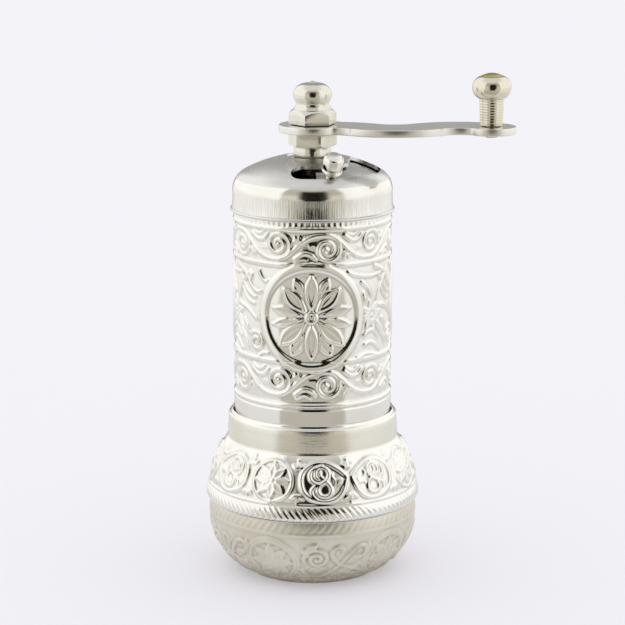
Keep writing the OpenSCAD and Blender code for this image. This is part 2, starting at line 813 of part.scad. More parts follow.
// Rivet upset at both ends: fixed in the arm, it is the axle of the crank's knob
module knob_rivet() {
    color([0.74, 0.66, 0.36])
        translate([crank_reach, knob_y, 0])
            rotate_extrude() {
                band(0, rivet_r, arm_z - rivet_foot_h, knob_top);
                arc_section([rivet_r, arm_z - rivet_foot_h], [rivet_r + 0.3, arm_z], 0.06);
                arc_section([rivet_head_r, knob_top - rivet_top_h / 2], [rivet_r,
                    knob_top + rivet_top_h / 4], 0.05);
            }
}

// Turned knob of the crank, free on its rivet
module crank_knob() {
    neck_z = knob_z + grip_neck_h;
    top_r = rivet_head_r + 0.4;
    sag = ball_r - (grip_neck_r + top_r) / 2;
    color([0.81, 0.79, 0.72])
        translate([crank_reach, knob_y, 0])
            rotate_extrude()
                difference() {
                    union() {
                        polygon([[0, knob_z], [grip_foot_r, knob_z], [grip_neck_r, neck_z], [0, neck_z]]);
                        arc_section([grip_neck_r, neck_z], [top_r, knob_top], sag);
                    }
                    band(0, rivet_r + run, knob_z - over, knob_top + over);
                    band(0, rivet_head_r + run, knob_top - rivet_top_h / 2 - float, knob_top + over);
                }
}

// Grinding adjuster: a screw with a milled head whose tip carries the thrust ball
module adjuster_screw() {
    notch_r = 0.7;
    color([0.74, 0.70, 0.56])
        difference() {
            union() {
                translate([0, 0, head_z]) cylinder(r = adjust_r, h = tip_z - head_z);
                translate([0, 0, head_z]) cylinder(r = adjust_head_r, h = adjust_head_h);
            }
            translate([0, 0, thrust_z]) sphere(thrust_r + press);
            for (i = [0:adjust_notches - 1])
                rotate(i * 360 / adjust_notches)
                    translate([adjust_head_r, 0, head_z - over])
                        cylinder(r = notch_r, h = adjust_head_h + 2 * over);
        }
}

// Lock nut between the adjuster's head and the bridge
module adjuster_nut() {
    color([0.66, 0.66, 0.64])
        translate([0, 0, lock_z])
            difference() {
                hexagon(lock_nut_h, true, true);
                translate([0, 0, -over]) cylinder(r = adjust_r + press, h = lock_nut_h + 2 * over);
            }
}

// Steel ball between the adjuster's tip and the end of the shaft
module thrust_ball() {
    color([0.75, 0.75, 0.76])
        translate([0, 0, thrust_z]) sphere(thrust_r);
}

base_cup();
base_bell();
body_tube();
dome_lid();
pivot_eyelet();
shutter_washer();
filler_shutter();
shutter_knob();
guide_bar();
guide_bush();
burr_ring();
burr_bridge();
bridge_screws();
drive_shaft();
burr_cone();
cone_pin();
collar_nut();
crank_arm();
acorn_nut();
knob_rivet();
crank_knob();
adjuster_screw();
adjuster_nut();
thrust_ball();
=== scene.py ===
import math

import bpy
import numpy as np
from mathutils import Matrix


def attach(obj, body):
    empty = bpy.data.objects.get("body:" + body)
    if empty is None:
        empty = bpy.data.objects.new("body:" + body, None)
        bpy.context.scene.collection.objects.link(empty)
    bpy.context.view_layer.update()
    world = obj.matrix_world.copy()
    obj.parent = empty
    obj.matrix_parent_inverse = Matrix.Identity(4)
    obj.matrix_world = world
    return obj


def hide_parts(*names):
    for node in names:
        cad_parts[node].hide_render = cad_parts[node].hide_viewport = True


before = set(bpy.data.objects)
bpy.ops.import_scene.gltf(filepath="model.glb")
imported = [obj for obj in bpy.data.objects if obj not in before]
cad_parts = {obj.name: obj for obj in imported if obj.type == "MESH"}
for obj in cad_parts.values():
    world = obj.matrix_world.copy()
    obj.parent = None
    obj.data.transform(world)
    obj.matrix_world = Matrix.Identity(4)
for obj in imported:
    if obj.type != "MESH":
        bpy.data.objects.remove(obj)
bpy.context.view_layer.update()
mm = 0.001
mergeGap = 1e-7
fineSteps, smallSteps = 128, 96                                       # faces round a turned piece
print("frame loaded:", len(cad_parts), "nodes")


# object mode, with only these pieces selected
def pick(*pieces):
    if bpy.context.object and bpy.context.object.mode != "OBJECT":
        bpy.ops.object.mode_set(mode="OBJECT")
    bpy.ops.object.select_all(action="DESELECT")
    for piece in pieces:
        piece.select_set(True)
    if pieces:
        bpy.context.view_layer.objects.active = pieces[0]


def editAll(piece):
    pick(piece)
    bpy.ops.object.mode_set(mode="EDIT")
    bpy.ops.mesh.select_all(action="SELECT")


def applyModifier(piece, kind, **values):
    pick(piece)
    bpy.ops.object.modifier_add(type=kind)
    modifier = piece.modifiers[-1]
    for key, value in values.items():
        setattr(modifier, key, value)
    bpy.ops.object.modifier_apply(modifier=modifier.name)


# cuts or trims a piece by a tool, which is then thrown away
def shapeBy(piece, tool, operation):
    applyModifier(piece, "BOOLEAN", operation=operation, object=tool, solver="EXACT")
    pick(tool)
    bpy.ops.object.delete()


def bevelEdges(piece, width, segments, degrees):
    applyModifier(piece, "BEVEL", width=width * mm, segments=segments, limit_method="ANGLE",
                  angle_limit=math.radians(degrees))


def movePiece(piece, x, y, z):
    editAll(piece)
    bpy.ops.transform.translate(value=(x * mm, y * mm, z * mm))
    bpy.ops.object.mode_set(mode="OBJECT")


def turnMesh(piece, degrees, axis="Z"):
    editAll(piece)
    bpy.ops.transform.rotate(value=-math.radians(degrees), orient_axis=axis, center_override=(0, 0, 0))
    bpy.ops.object.mode_set(mode="OBJECT")


def joinPieces(name, *pieces):
    pick(*pieces)
    bpy.ops.object.join()
    pieces[0].name = pieces[0].data.name = name
    return pieces[0]


# a profile of (radius, height) points in mm, drawn by extruding one vertex and turned round the axis
def turnPiece(name, profile, steps, sweep=360.0):
    pick()
    bpy.ops.mesh.primitive_plane_add(size=mm)
    piece = bpy.context.object
    piece.name = piece.data.name = name
    editAll(piece)
    bpy.ops.mesh.merge(type="CENTER")
    bpy.ops.transform.translate(value=(profile[0][0] * mm, 0, profile[0][1] * mm))
    for (r0, z0), (r1, z1) in zip(profile, profile[1:]):
        step = ((r1 - r0) * mm, 0, (z1 - z0) * mm)
        bpy.ops.mesh.extrude_region_move(TRANSFORM_OT_translate={"value": step})
    bpy.ops.mesh.select_all(action="SELECT")
    bpy.ops.mesh.remove_doubles(threshold=mergeGap)
    bpy.ops.object.mode_set(mode="OBJECT")
    applyModifier(piece, "SCREW", angle=math.radians(sweep), steps=steps, render_steps=steps,
                  use_merge_vertices=True, merge_threshold=mergeGap)
    editAll(piece)
    bpy.ops.mesh.remove_doubles(threshold=mergeGap)
    if sweep < 360:
        bpy.ops.mesh.select_all(action="DESELECT")
        bpy.ops.mesh.select_non_manifold()
        bpy.ops.mesh.fill_holes(sides=0)
        bpy.ops.mesh.select_all(action="SELECT")
    bpy.ops.mesh.normals_make_consistent(inside=False)
    bpy.ops.object.mode_set(mode="OBJECT")
    return piece


# flat plate of a drawn outline, extruded to its thickness
def platePiece(name, outline, low, thick):
    pick()
    bpy.ops.mesh.primitive_circle_add(vertices=len(outline), radius=mm, fill_type="NGON")
    piece = bpy.context.object
    piece.name = piece.data.name = name
    for vertex, (x, y) in zip(piece.data.vertices, outline):
        vertex.co = (x * mm, y * mm, low * mm)
    editAll(piece)
    bpy.ops.mesh.extrude_region_move(TRANSFORM_OT_translate={"value": (0, 0, thick * mm)})
    bpy.ops.mesh.select_all(action="SELECT")
    bpy.ops.mesh.normals_make_consistent(inside=False)
    bpy.ops.object.mode_set(mode="OBJECT")
    return piece


# points along the arc from p to q that bulges outwards by sag
def arcPoints(p, q, sag, count):
    p, q = np.array(p, float), np.array(q, float)
    chord = np.linalg.norm(q - p)
    radius = ((chord / 2) ** 2 + sag ** 2) / (2 * sag)
    away = np.array([q[1] - p[1], p[0] - q[0]]) / chord
    centre = (p + q) / 2 - (radius - sag) * away
    half = math.asin(min(1.0, chord / 2 / radius))
    if sag > radius:
        half = math.pi - half
    middle = math.degrees(math.atan2(away[1], away[0]))
    return roundPoints(centre, radius, middle - math.degrees(half), middle + math.degrees(half), count)


def roundPoints(centre, radius, fromDeg, toDeg, count):
    turns = np.radians(np.linspace(fromDeg, toDeg, count))
    return [(centre[0] + radius * math.cos(t), centre[1] + radius * math.sin(t)) for t in turns]


# the same profile points, stood on the height z
def standOn(z, points):
    return [(r, z + rise) for r, rise in points]


# ornament is drawn on a flat sheet: u runs round the piece, v runs up, in mm
def smoothLine(points, steps=6):
    p = np.array([points[0], *points, points[-1]], float)
    line = []
    for a, b, c, d in zip(p, p[1:], p[2:], p[3:]):
        for t in np.arange(steps) / steps:
            line.append(0.5 * (2 * b + (c - a) * t + (2 * a - 5 * b + 4 * c - d) * t * t
                               + (3 * b - a - 3 * c + d) * t ** 3))
    return np.array([*line, p[-1]])


# the highest of several ornaments at each place
def over(*shapes):
    top = shapes[0]
    for shape in shapes[1:]:
        top = np.maximum(top, shape)
    return top


# half-round ridge along a line: 1 on its crest, 0 off it
def ridgeLine(u, v, points, wide, taper=1.0):
    line = np.asarray(points, float)
    last = max(len(line) - 2, 1)
    crest = np.zeros_like(u)
    for i in range(len(line) - 1):
        (ax, ay), (bx, by) = line[i], line[i + 1]
        half = wide / 2 * (1 + (taper - 1) * i / last)
        dx, dy = bx - ax, by - ay
        t = np.clip(((u - ax) * dx + (v - ay) * dy) / (dx * dx + dy * dy + 1e-12), 0, 1)
        gap = (u - ax - t * dx) ** 2 + (v - ay - t * dy) ** 2
        crest = np.maximum(crest, 1 - gap / half ** 2)
    return np.clip(crest, 0, 1)


# strokes are (points, width, taper, height), drawn about a place and mirrored by its two hands
def drawStrokes(u, v, place, hands, strokes, steps=6):
    shape = np.zeros_like(u)
    for points, wide, taper, lift in strokes:
        line = smoothLine([(place[0] + hands[0] * x, place[1] + hands[1] * y) for x, y in points], steps)
        shape = over(shape, lift * ridgeLine(u, v, line, wide, taper))
    return shape


def ringLine(u, v, x, y, radius, wide):
    gap = np.abs(np.hypot(u - x, v - y) - radius)
    return np.clip(1 - (gap / (wide / 2)) ** 2, 0, 1)


# half-round bar right round the piece
def roundBar(v, middle, half):
    return np.clip(1 - ((v - middle) / half) ** 2, 0, 1)


def dotShape(u, v, x, y, radius):
    return np.clip(1 - ((u - x) ** 2 + (v - y) ** 2) / radius ** 2, 0, 1)


# distance in mm from the edge of a lance-shaped leaf, positive inside it
def leafInside(u, v, x, y, lean, long, wide, belly=0.85):
    c, s = math.cos(math.radians(lean)), math.sin(math.radians(lean))
    along = ((u - x) * c + (v - y) * s) / long
    across = np.abs(-(u - x) * s + (v - y) * c)
    inside = np.sin(np.pi * np.clip(along, 0, 1) ** belly) * wide / 2 - across
    return np.where((along > 0) & (along < 1), inside, -9.0)


leaves = {"edge": 0.12, "ribFrom": 0.15, "ribTo": 0.8, "ribWide": 0.3, "ribHeight": 0.2, "plumpEdge": 0.34,
          "plumpPower": 0.7}


# leaf with a raised outline, a hollow field and a fine midrib
def veinedLeaf(u, v, x, y, lean, long, wide, outline=0.42, field=0.45, belly=0.85):
    inside = leafInside(u, v, x, y, lean, long, wide, belly)
    edge = np.clip(1 - ((inside - outline / 2) / (outline / 2)) ** 2, 0, 1)
    body = np.clip(inside / leaves["edge"], 0, 1) * field
    c, s = math.cos(math.radians(lean)), math.sin(math.radians(lean))
    ends = [(x + share * long * c, y + share * long * s) for share in (leaves["ribFrom"], leaves["ribTo"])]
    rib = ridgeLine(u, v, ends, leaves["ribWide"]) * leaves["ribHeight"] * (inside > 0)
    return over(edge, body + rib)


def plumpLeaf(u, v, x, y, lean, long, wide):
    inside = leafInside(u, v, x, y, lean, long, wide)
    return np.clip(inside / (wide * leaves["plumpEdge"]), 0, 1) ** leaves["plumpPower"]


# leaves round a middle, each with its foot a little way out
def leafRing(u, v, x, y, leans, foot, *leaf):
    shape = np.zeros_like(u)
    for lean in leans:
        footX, footY = x + foot * math.cos(math.radians(lean)), y + foot * math.sin(math.radians(lean))
        shape = over(shape, veinedLeaf(u, v, footX, footY, lean, *leaf))
    return shape


def spiralLine(x, y, flip, start, turns, outer, inner, count):
    t = np.linspace(0, 1, count)
    angle = np.radians(start - 360 * turns * t)
    radius = outer + (inner - outer) * t ** 0.85
    return np.column_stack([x + radius * np.cos(angle), y + flip * radius * np.sin(angle)])


# angle of each column as the front sees it: 0 faces the viewer, positive to the right
def frontAngles(columns):
    angle = np.arange(columns) * 360.0 / columns + 90.0
    return (angle + 180.0) % 360.0 - 180.0


# a tile of ornament repeats round the piece: its own sheet, and its column at each column of the piece
def tileSheet(columns, period, start, rows):
    return np.meshgrid((np.arange(columns) + 0.5) / columns * period - period * start, rows)


def tileColumns(columns, count, turn, start):
    wide = columns // count
    share = (frontAngles(columns) - turn) / (360.0 / count) % 1.0 + start
    return np.floor(share * wide).astype(int) % wide


# way up the wall at each row, measured from the middle of the wall
def wayUp(points):
    way = np.concatenate([[0], np.cumsum(np.hypot(*np.diff(np.array(points), axis=0).T))])
    return way - way[-1] / 2


def blurMap(height, reach):
    total = np.zeros_like(height)
    padded = np.pad(height, ((reach, reach), (0, 0)), mode="edge")
    for i in range(2 * reach + 1):
        total += padded[i:i + height.shape[0]]
    total /= 2 * reach + 1
    out = np.zeros_like(height)
    for j in range(-reach, reach + 1):
        out += np.roll(total, j, axis=1)
    return out / (2 * reach + 1)


relief = {"rowGap": 0.01, "skinGap": 0.05, "hollowReach": 3, "hollowDepth": 0.16, "least": 1e-4}


# raises the skin of a turned piece by a height map: the map becomes a vertex group for a Displace modifier,
# and places that lie lower than the ornament round them are kept as the attribute "hollow"
def emboss(piece, heights, points, columns, soften):
    heights = blurMap(blurMap(heights, 1), 1) * soften
    co = np.zeros(len(piece.data.vertices) * 3, np.float32)
    piece.data.vertices.foreach_get("co", co)
    co = co.reshape(-1, 3).astype(float) / mm
    radius = np.hypot(co[:, 0], co[:, 1])
    column = np.rint(np.arctan2(co[:, 1], co[:, 0]) / (2 * math.pi) * columns).astype(int) % columns
    rowR, rowZ = np.array(points).T
    order = np.argsort(rowZ)
    zUp, rUp = rowZ[order], rowR[order]
    near = np.clip(np.searchsorted(zUp, co[:, 2]), 1, len(zUp) - 1)
    near -= np.abs(zUp[near - 1] - co[:, 2]) < np.abs(zUp[near] - co[:, 2])
    onSkin = ((np.abs(zUp[near] - co[:, 2]) < relief["rowGap"])
              & (np.abs(rUp[near] - radius) < relief["skinGap"]))
    row = order[near]
    lift = np.where(onSkin, heights[row, column], 0.0)
    lower = (blurMap(heights, relief["hollowReach"]) - heights) / relief["hollowDepth"]
    hollow = np.where(onSkin, np.clip(lower, 0, 1)[row, column], 0.0)
    top = float(lift.max())
    group = piece.vertex_groups.new(name="relief")
    for index in np.nonzero(lift > relief["least"])[0]:
        group.add([int(index)], float(lift[index] / top), "REPLACE")
    applyModifier(piece, "DISPLACE", vertex_group="relief", strength=top * mm, mid_level=0.0,
                  direction="NORMAL")
    attribute = piece.data.attributes.new("hollow", "FLOAT", "POINT")
    attribute.data.foreach_set("value", hollow.astype(np.float32))


# shader nodes
def newGroup(name, inputs, outputs):
    group = bpy.data.node_groups.new(name, "ShaderNodeTree")
    for label, kind, value in inputs:
        socket = group.interface.new_socket(name=label, in_out="INPUT", socket_type="NodeSocket" + kind)
        if value is not None:
            socket.default_value = value
    for label, kind in outputs:
        group.interface.new_socket(name=label, in_out="OUTPUT", socket_type="NodeSocket" + kind)
    return group, group.nodes.new("NodeGroupInput").outputs, group.nodes.new("NodeGroupOutput").inputs


def addNode(tree, kind, links=None, **values):
    node = tree.nodes.new("ShaderNode" + kind)
    for key, value in values.items():
        setattr(node, key, value)
    for key, value in (links or {}).items():
        if isinstance(value, bpy.types.NodeSocket):
            tree.links.new(value, node.inputs[key])
        else:
            node.inputs[key].default_value = value
    return node


def mathNode(tree, operation, *values):
    return addNode(tree, "Math", dict(enumerate(values)), operation=operation).outputs[0]


def vectorNode(tree, operation, *values):
    return addNode(tree, "VectorMath", dict(enumerate(values)), operation=operation)


def noiseNode(tree, vector, scale, detail, rough=0.5):
    links = {"Vector": vector, "Scale": scale, "Detail": detail, "Roughness": rough}
    return addNode(tree, "TexNoise", links).outputs[0]


def rampNode(tree, value, low, high, outLow=0.0, outHigh=1.0):
    links = {0: value, 1: low, 2: high, 3: outLow, 4: outHigh}
    return addNode(tree, "MapRange", links, interpolation_type="SMOOTHSTEP").outputs[0]


def mixColour(tree, factor, a, b):
    return addNode(tree, "Mix", {0: factor, 6: a, 7: b}, data_type="RGBA").outputs[2]


# plating that is cloudy in places, and dull brown where the Hollow mark lies: tarnish in hollows that polish
# never reaches, and painted shade in those hollows and towards the cup's foot
def agedPlateGroup():
    group, given, out = newGroup("agedPlate", [
        ("Vector", "Vector", None), ("Hollow", "Float", 0.0), ("Plate", "Color", (0.8, 0.78, 0.72, 1)),
        ("Cloud", "Color", (0.7, 0.67, 0.6, 1)), ("Grimeshade", "Color", (0.2, 0.15, 0.08, 1)),
        ("Grimeshade amount", "Float", 0.6), ("Rough", "Float", 0.16), ("Rough spread", "Float", 0.08)],
        [("Color", "Color"), ("Rough", "Float"), ("Grain", "Float")])
    clouds = noiseNode(group, given["Vector"], 90.0, 4.0, 0.6)
    specks = noiseNode(group, given["Vector"], 900.0, 3.0)
    grain = noiseNode(group, given["Vector"], 2600.0, 2.0)
    cloudy = rampNode(group, clouds, 0.42, 0.72)
    tinted = mixColour(group, cloudy, given["Plate"], given["Cloud"])
    speckled = rampNode(group, specks, 0.25, 0.65, 0.5, 1.0)
    # the Hollow mark darkens the plate: tarnish, and painted shade
    stainAndShade = mathNode(group, "MULTIPLY", given["Hollow"], speckled)
    stainAndShade = mathNode(group, "MULTIPLY", stainAndShade, given["Grimeshade amount"])
    swing = mathNode(group, "SUBTRACT", mathNode(group, "ADD", cloudy, specks), 0.6)
    dull = mathNode(group, "MULTIPLY_ADD", swing, given["Rough spread"], given["Rough"])
    group.links.new(mixColour(group, stainAndShade, tinted, given["Grimeshade"]), out["Color"])
    group.links.new(mathNode(group, "MULTIPLY_ADD", stainAndShade, 0.25, dull), out["Rough"])
    group.links.new(grain, out["Grain"])
    return group


# fine lines left by a lathe, round the axis, or by a polishing belt, up the wall
def brushGroup():
    group, given, out = newGroup("brushLines", [
        ("Vector", "Vector", None), ("Round lines", "Float", 1.0), ("Upright lines", "Float", 0.0)],
        [("Height", "Float"), ("Mask", "Float")])
    x, y, z = addNode(group, "SeparateXYZ", {0: given["Vector"]}).outputs
    turn = mathNode(group, "ARCTAN2", y, x)
    flat = vectorNode(group, "MULTIPLY", given["Vector"], (1, 1, 0)).outputs[0]
    reach = vectorNode(group, "LENGTH", flat).outputs[1]
    lathe = addNode(group, "CombineXYZ", {0: mathNode(group, "MULTIPLY", turn, 0.0006), 1: z, 2: reach})
    belt = addNode(group, "CombineXYZ", {0: mathNode(group, "MULTIPLY", turn, 0.017),
                                         1: mathNode(group, "MULTIPLY", z, 0.03), 2: 0.0})
    roundLines = noiseNode(group, lathe.outputs[0], 5200.0, 3.0)
    uprightLines = noiseNode(group, belt.outputs[0], 3200.0, 3.0)
    mixed = mathNode(group, "ADD", mathNode(group, "MULTIPLY", roundLines, given["Round lines"]),
                     mathNode(group, "MULTIPLY", uprightLines, given["Upright lines"]))
    group.links.new(mixed, out["Height"])
    group.links.new(rampNode(group, mixed, 0.3, 0.7), out["Mask"])
    return group


agedPlate = agedPlateGroup()
brushLines = brushGroup()
bumpReach = 0.0001


def finishMaterial(name, look):
    material = bpy.data.materials.new(name)
    material.use_nodes = True
    tree = material.node_tree
    shader = tree.nodes["Principled BSDF"]
    shader.inputs["Metallic"].default_value = 1.0
    shader.inputs["Specular Tint"].default_value = (*look.get("edgeTint", (1, 1, 1)), 1)
    coords = addNode(tree, "TexCoord").outputs["Object"]
    if "centre" in look:
        shift = tuple(-x * mm for x in look["centre"])
        coords = addNode(tree, "Mapping", {"Vector": coords, "Location": shift}).outputs[0]
    hollow = addNode(tree, "Attribute", attribute_name="hollow").outputs["Fac"]
    plate = addNode(tree, "Group", node_tree=agedPlate)
    tree.links.new(coords, plate.inputs["Vector"])
    tree.links.new(hollow, plate.inputs["Hollow"])
    for key in ("Plate", "Cloud", "Grimeshade"):
        plate.inputs[key].default_value = (*look[key.lower()], 1)
    plate.inputs["Grimeshade amount"].default_value = look.get("grimeshadeAmount", 0.6)
    plate.inputs["Rough"].default_value = look["rough"]
    plate.inputs["Rough spread"].default_value = look["roughSpread"]
    colour = plate.outputs["Color"]
    tree.links.new(plate.outputs["Rough"], shader.inputs["Roughness"])
    normal = addNode(tree, "Bump", {"Height": plate.outputs["Grain"], "Strength": look["grain"],
                                    "Distance": bumpReach}).outputs[0]
    if "brush" in look:
        brush = addNode(tree, "Group", node_tree=brushLines)
        tree.links.new(coords, brush.inputs["Vector"])
        brush.inputs["Round lines"].default_value = look.get("roundLines", 0.0)
        brush.inputs["Upright lines"].default_value = look.get("uprightLines", 0.0)
        normal = addNode(tree, "Bump", {"Height": brush.outputs["Height"], "Normal": normal,
                                        "Strength": look["brush"], "Distance": bumpReach}).outputs[0]
        streak = mathNode(tree, "MULTIPLY", brush.outputs["Mask"], look.get("streak", 0.0))
        dark = tuple(0.55 * c for c in look["cloud"])
        colour = mixColour(tree, streak, colour, (*dark, 1))
    tree.links.new(colour, shader.inputs["Base Color"])
    tree.links.new(normal, shader.inputs["Normal"])
    return material


knobAxis = (37.75, -3.1, 0)
# grimeshade is the dark colour that the Hollow mark lays on: tarnish, and painted shade
finishes = {
    "stampedNickel": dict(plate=(0.86, 0.85, 0.815), cloud=(0.81, 0.79, 0.74), grimeshade=(0.34, 0.27, 0.16),
                          rough=0.10, roughSpread=0.05, grain=0.06),
    "brushedNickel": dict(plate=(0.87, 0.855, 0.81), cloud=(0.82, 0.795, 0.735), grimeshade=(0.34, 0.28, 0.18),
                          rough=0.20, roughSpread=0.08, grain=0.05, uprightLines=1.0, brush=0.8, streak=0.3),
    "collarNickel": dict(plate=(0.83, 0.80, 0.725), cloud=(0.77, 0.735, 0.645), grimeshade=(0.34, 0.28, 0.18),
                         rough=0.22, roughSpread=0.08, grain=0.05, roundLines=0.8, brush=0.3),
    "shoulderNickel": dict(plate=(0.84, 0.82, 0.765), cloud=(0.79, 0.765, 0.70), grimeshade=(0.34, 0.28, 0.18),
                           rough=0.13, roughSpread=0.05, grain=0.05),
    "domeNickel": dict(plate=(0.72, 0.715, 0.695), cloud=(0.66, 0.65, 0.62), grimeshade=(0.4, 0.33, 0.22),
                       rough=0.27, roughSpread=0.06, grain=0.08, roundLines=0.6, brush=0.05),
    "satinNickel": dict(plate=(0.76, 0.73, 0.63), cloud=(0.70, 0.665, 0.56), grimeshade=(0.18, 0.14, 0.08),
                        grimeshadeAmount=0.8, rough=0.42, roughSpread=0.06, grain=0.35),
    "armNickel": dict(plate=(0.82, 0.80, 0.745), cloud=(0.75, 0.725, 0.66), grimeshade=(0.3, 0.24, 0.15),
                      rough=0.33, roughSpread=0.08, grain=0.06),
    "armFace": dict(plate=(0.80, 0.79, 0.755), cloud=(0.74, 0.73, 0.685), grimeshade=(0.3, 0.25, 0.17),
                    rough=0.30, roughSpread=0.08, grain=0.10),
    "nutNickel": dict(plate=(0.75, 0.725, 0.655), cloud=(0.66, 0.62, 0.515), grimeshade=(0.3, 0.24, 0.13),
                      rough=0.16, roughSpread=0.08, grain=0.06, roundLines=0.5, brush=0.08),
    "knobNickel": dict(centre=knobAxis, plate=(0.73, 0.69, 0.58), cloud=(0.65, 0.605, 0.475),
                       grimeshade=(0.3, 0.24, 0.13), rough=0.13, roughSpread=0.07, grain=0.05,
                       roundLines=1.0, brush=0.16),
    "rivetBrass": dict(centre=knobAxis, plate=(0.58, 0.55, 0.29), cloud=(0.50, 0.46, 0.22),
                       edgeTint=(0.75, 0.74, 0.45), grimeshade=(0.2, 0.15, 0.06), rough=0.26, roughSpread=0.1,
                       grain=0.2, roundLines=1.0, brush=0.2),
    "bushBrass": dict(plate=(0.74, 0.56, 0.24), cloud=(0.64, 0.47, 0.19), grimeshade=(0.2, 0.13, 0.05),
                      rough=0.28, roughSpread=0.1, grain=0.2, roundLines=1.0, brush=0.15),
    "shaftSteel": dict(plate=(0.56, 0.555, 0.54), cloud=(0.48, 0.47, 0.45), grimeshade=(0.2, 0.17, 0.13),
                       rough=0.26, roughSpread=0.1, grain=0.12, roundLines=1.0, brush=0.2),
    "burrSteelAndShade": dict(plate=(0.25, 0.24, 0.23), cloud=(0.18, 0.17, 0.165), grimeshade=(0.1, 0.08, 0.06),
                      rough=0.5, roughSpread=0.15, grain=0.8),
}
materials = {name: finishMaterial(name, look) for name, look in finishes.items()}
print("finishes made:", len(materials))


def dress(piece, body, finish, node, smoothBelow):
    pick(piece)
    bpy.ops.object.shade_smooth_by_angle(angle=math.radians(smoothBelow))
    piece.data.materials.append(materials[finish])
    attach(piece, body)
    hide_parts(node)


# a second finish for the faces that a test picks by their reach, their height and the rise of their normal
def paintFaces(piece, finish, isThere):
    piece.data.materials.append(materials[finish])
    for face in piece.data.polygons:
        if isThere(face.center.xy.length / mm, face.center.z / mm, face.normal.z):
            face.material_index = len(piece.data.materials) - 1


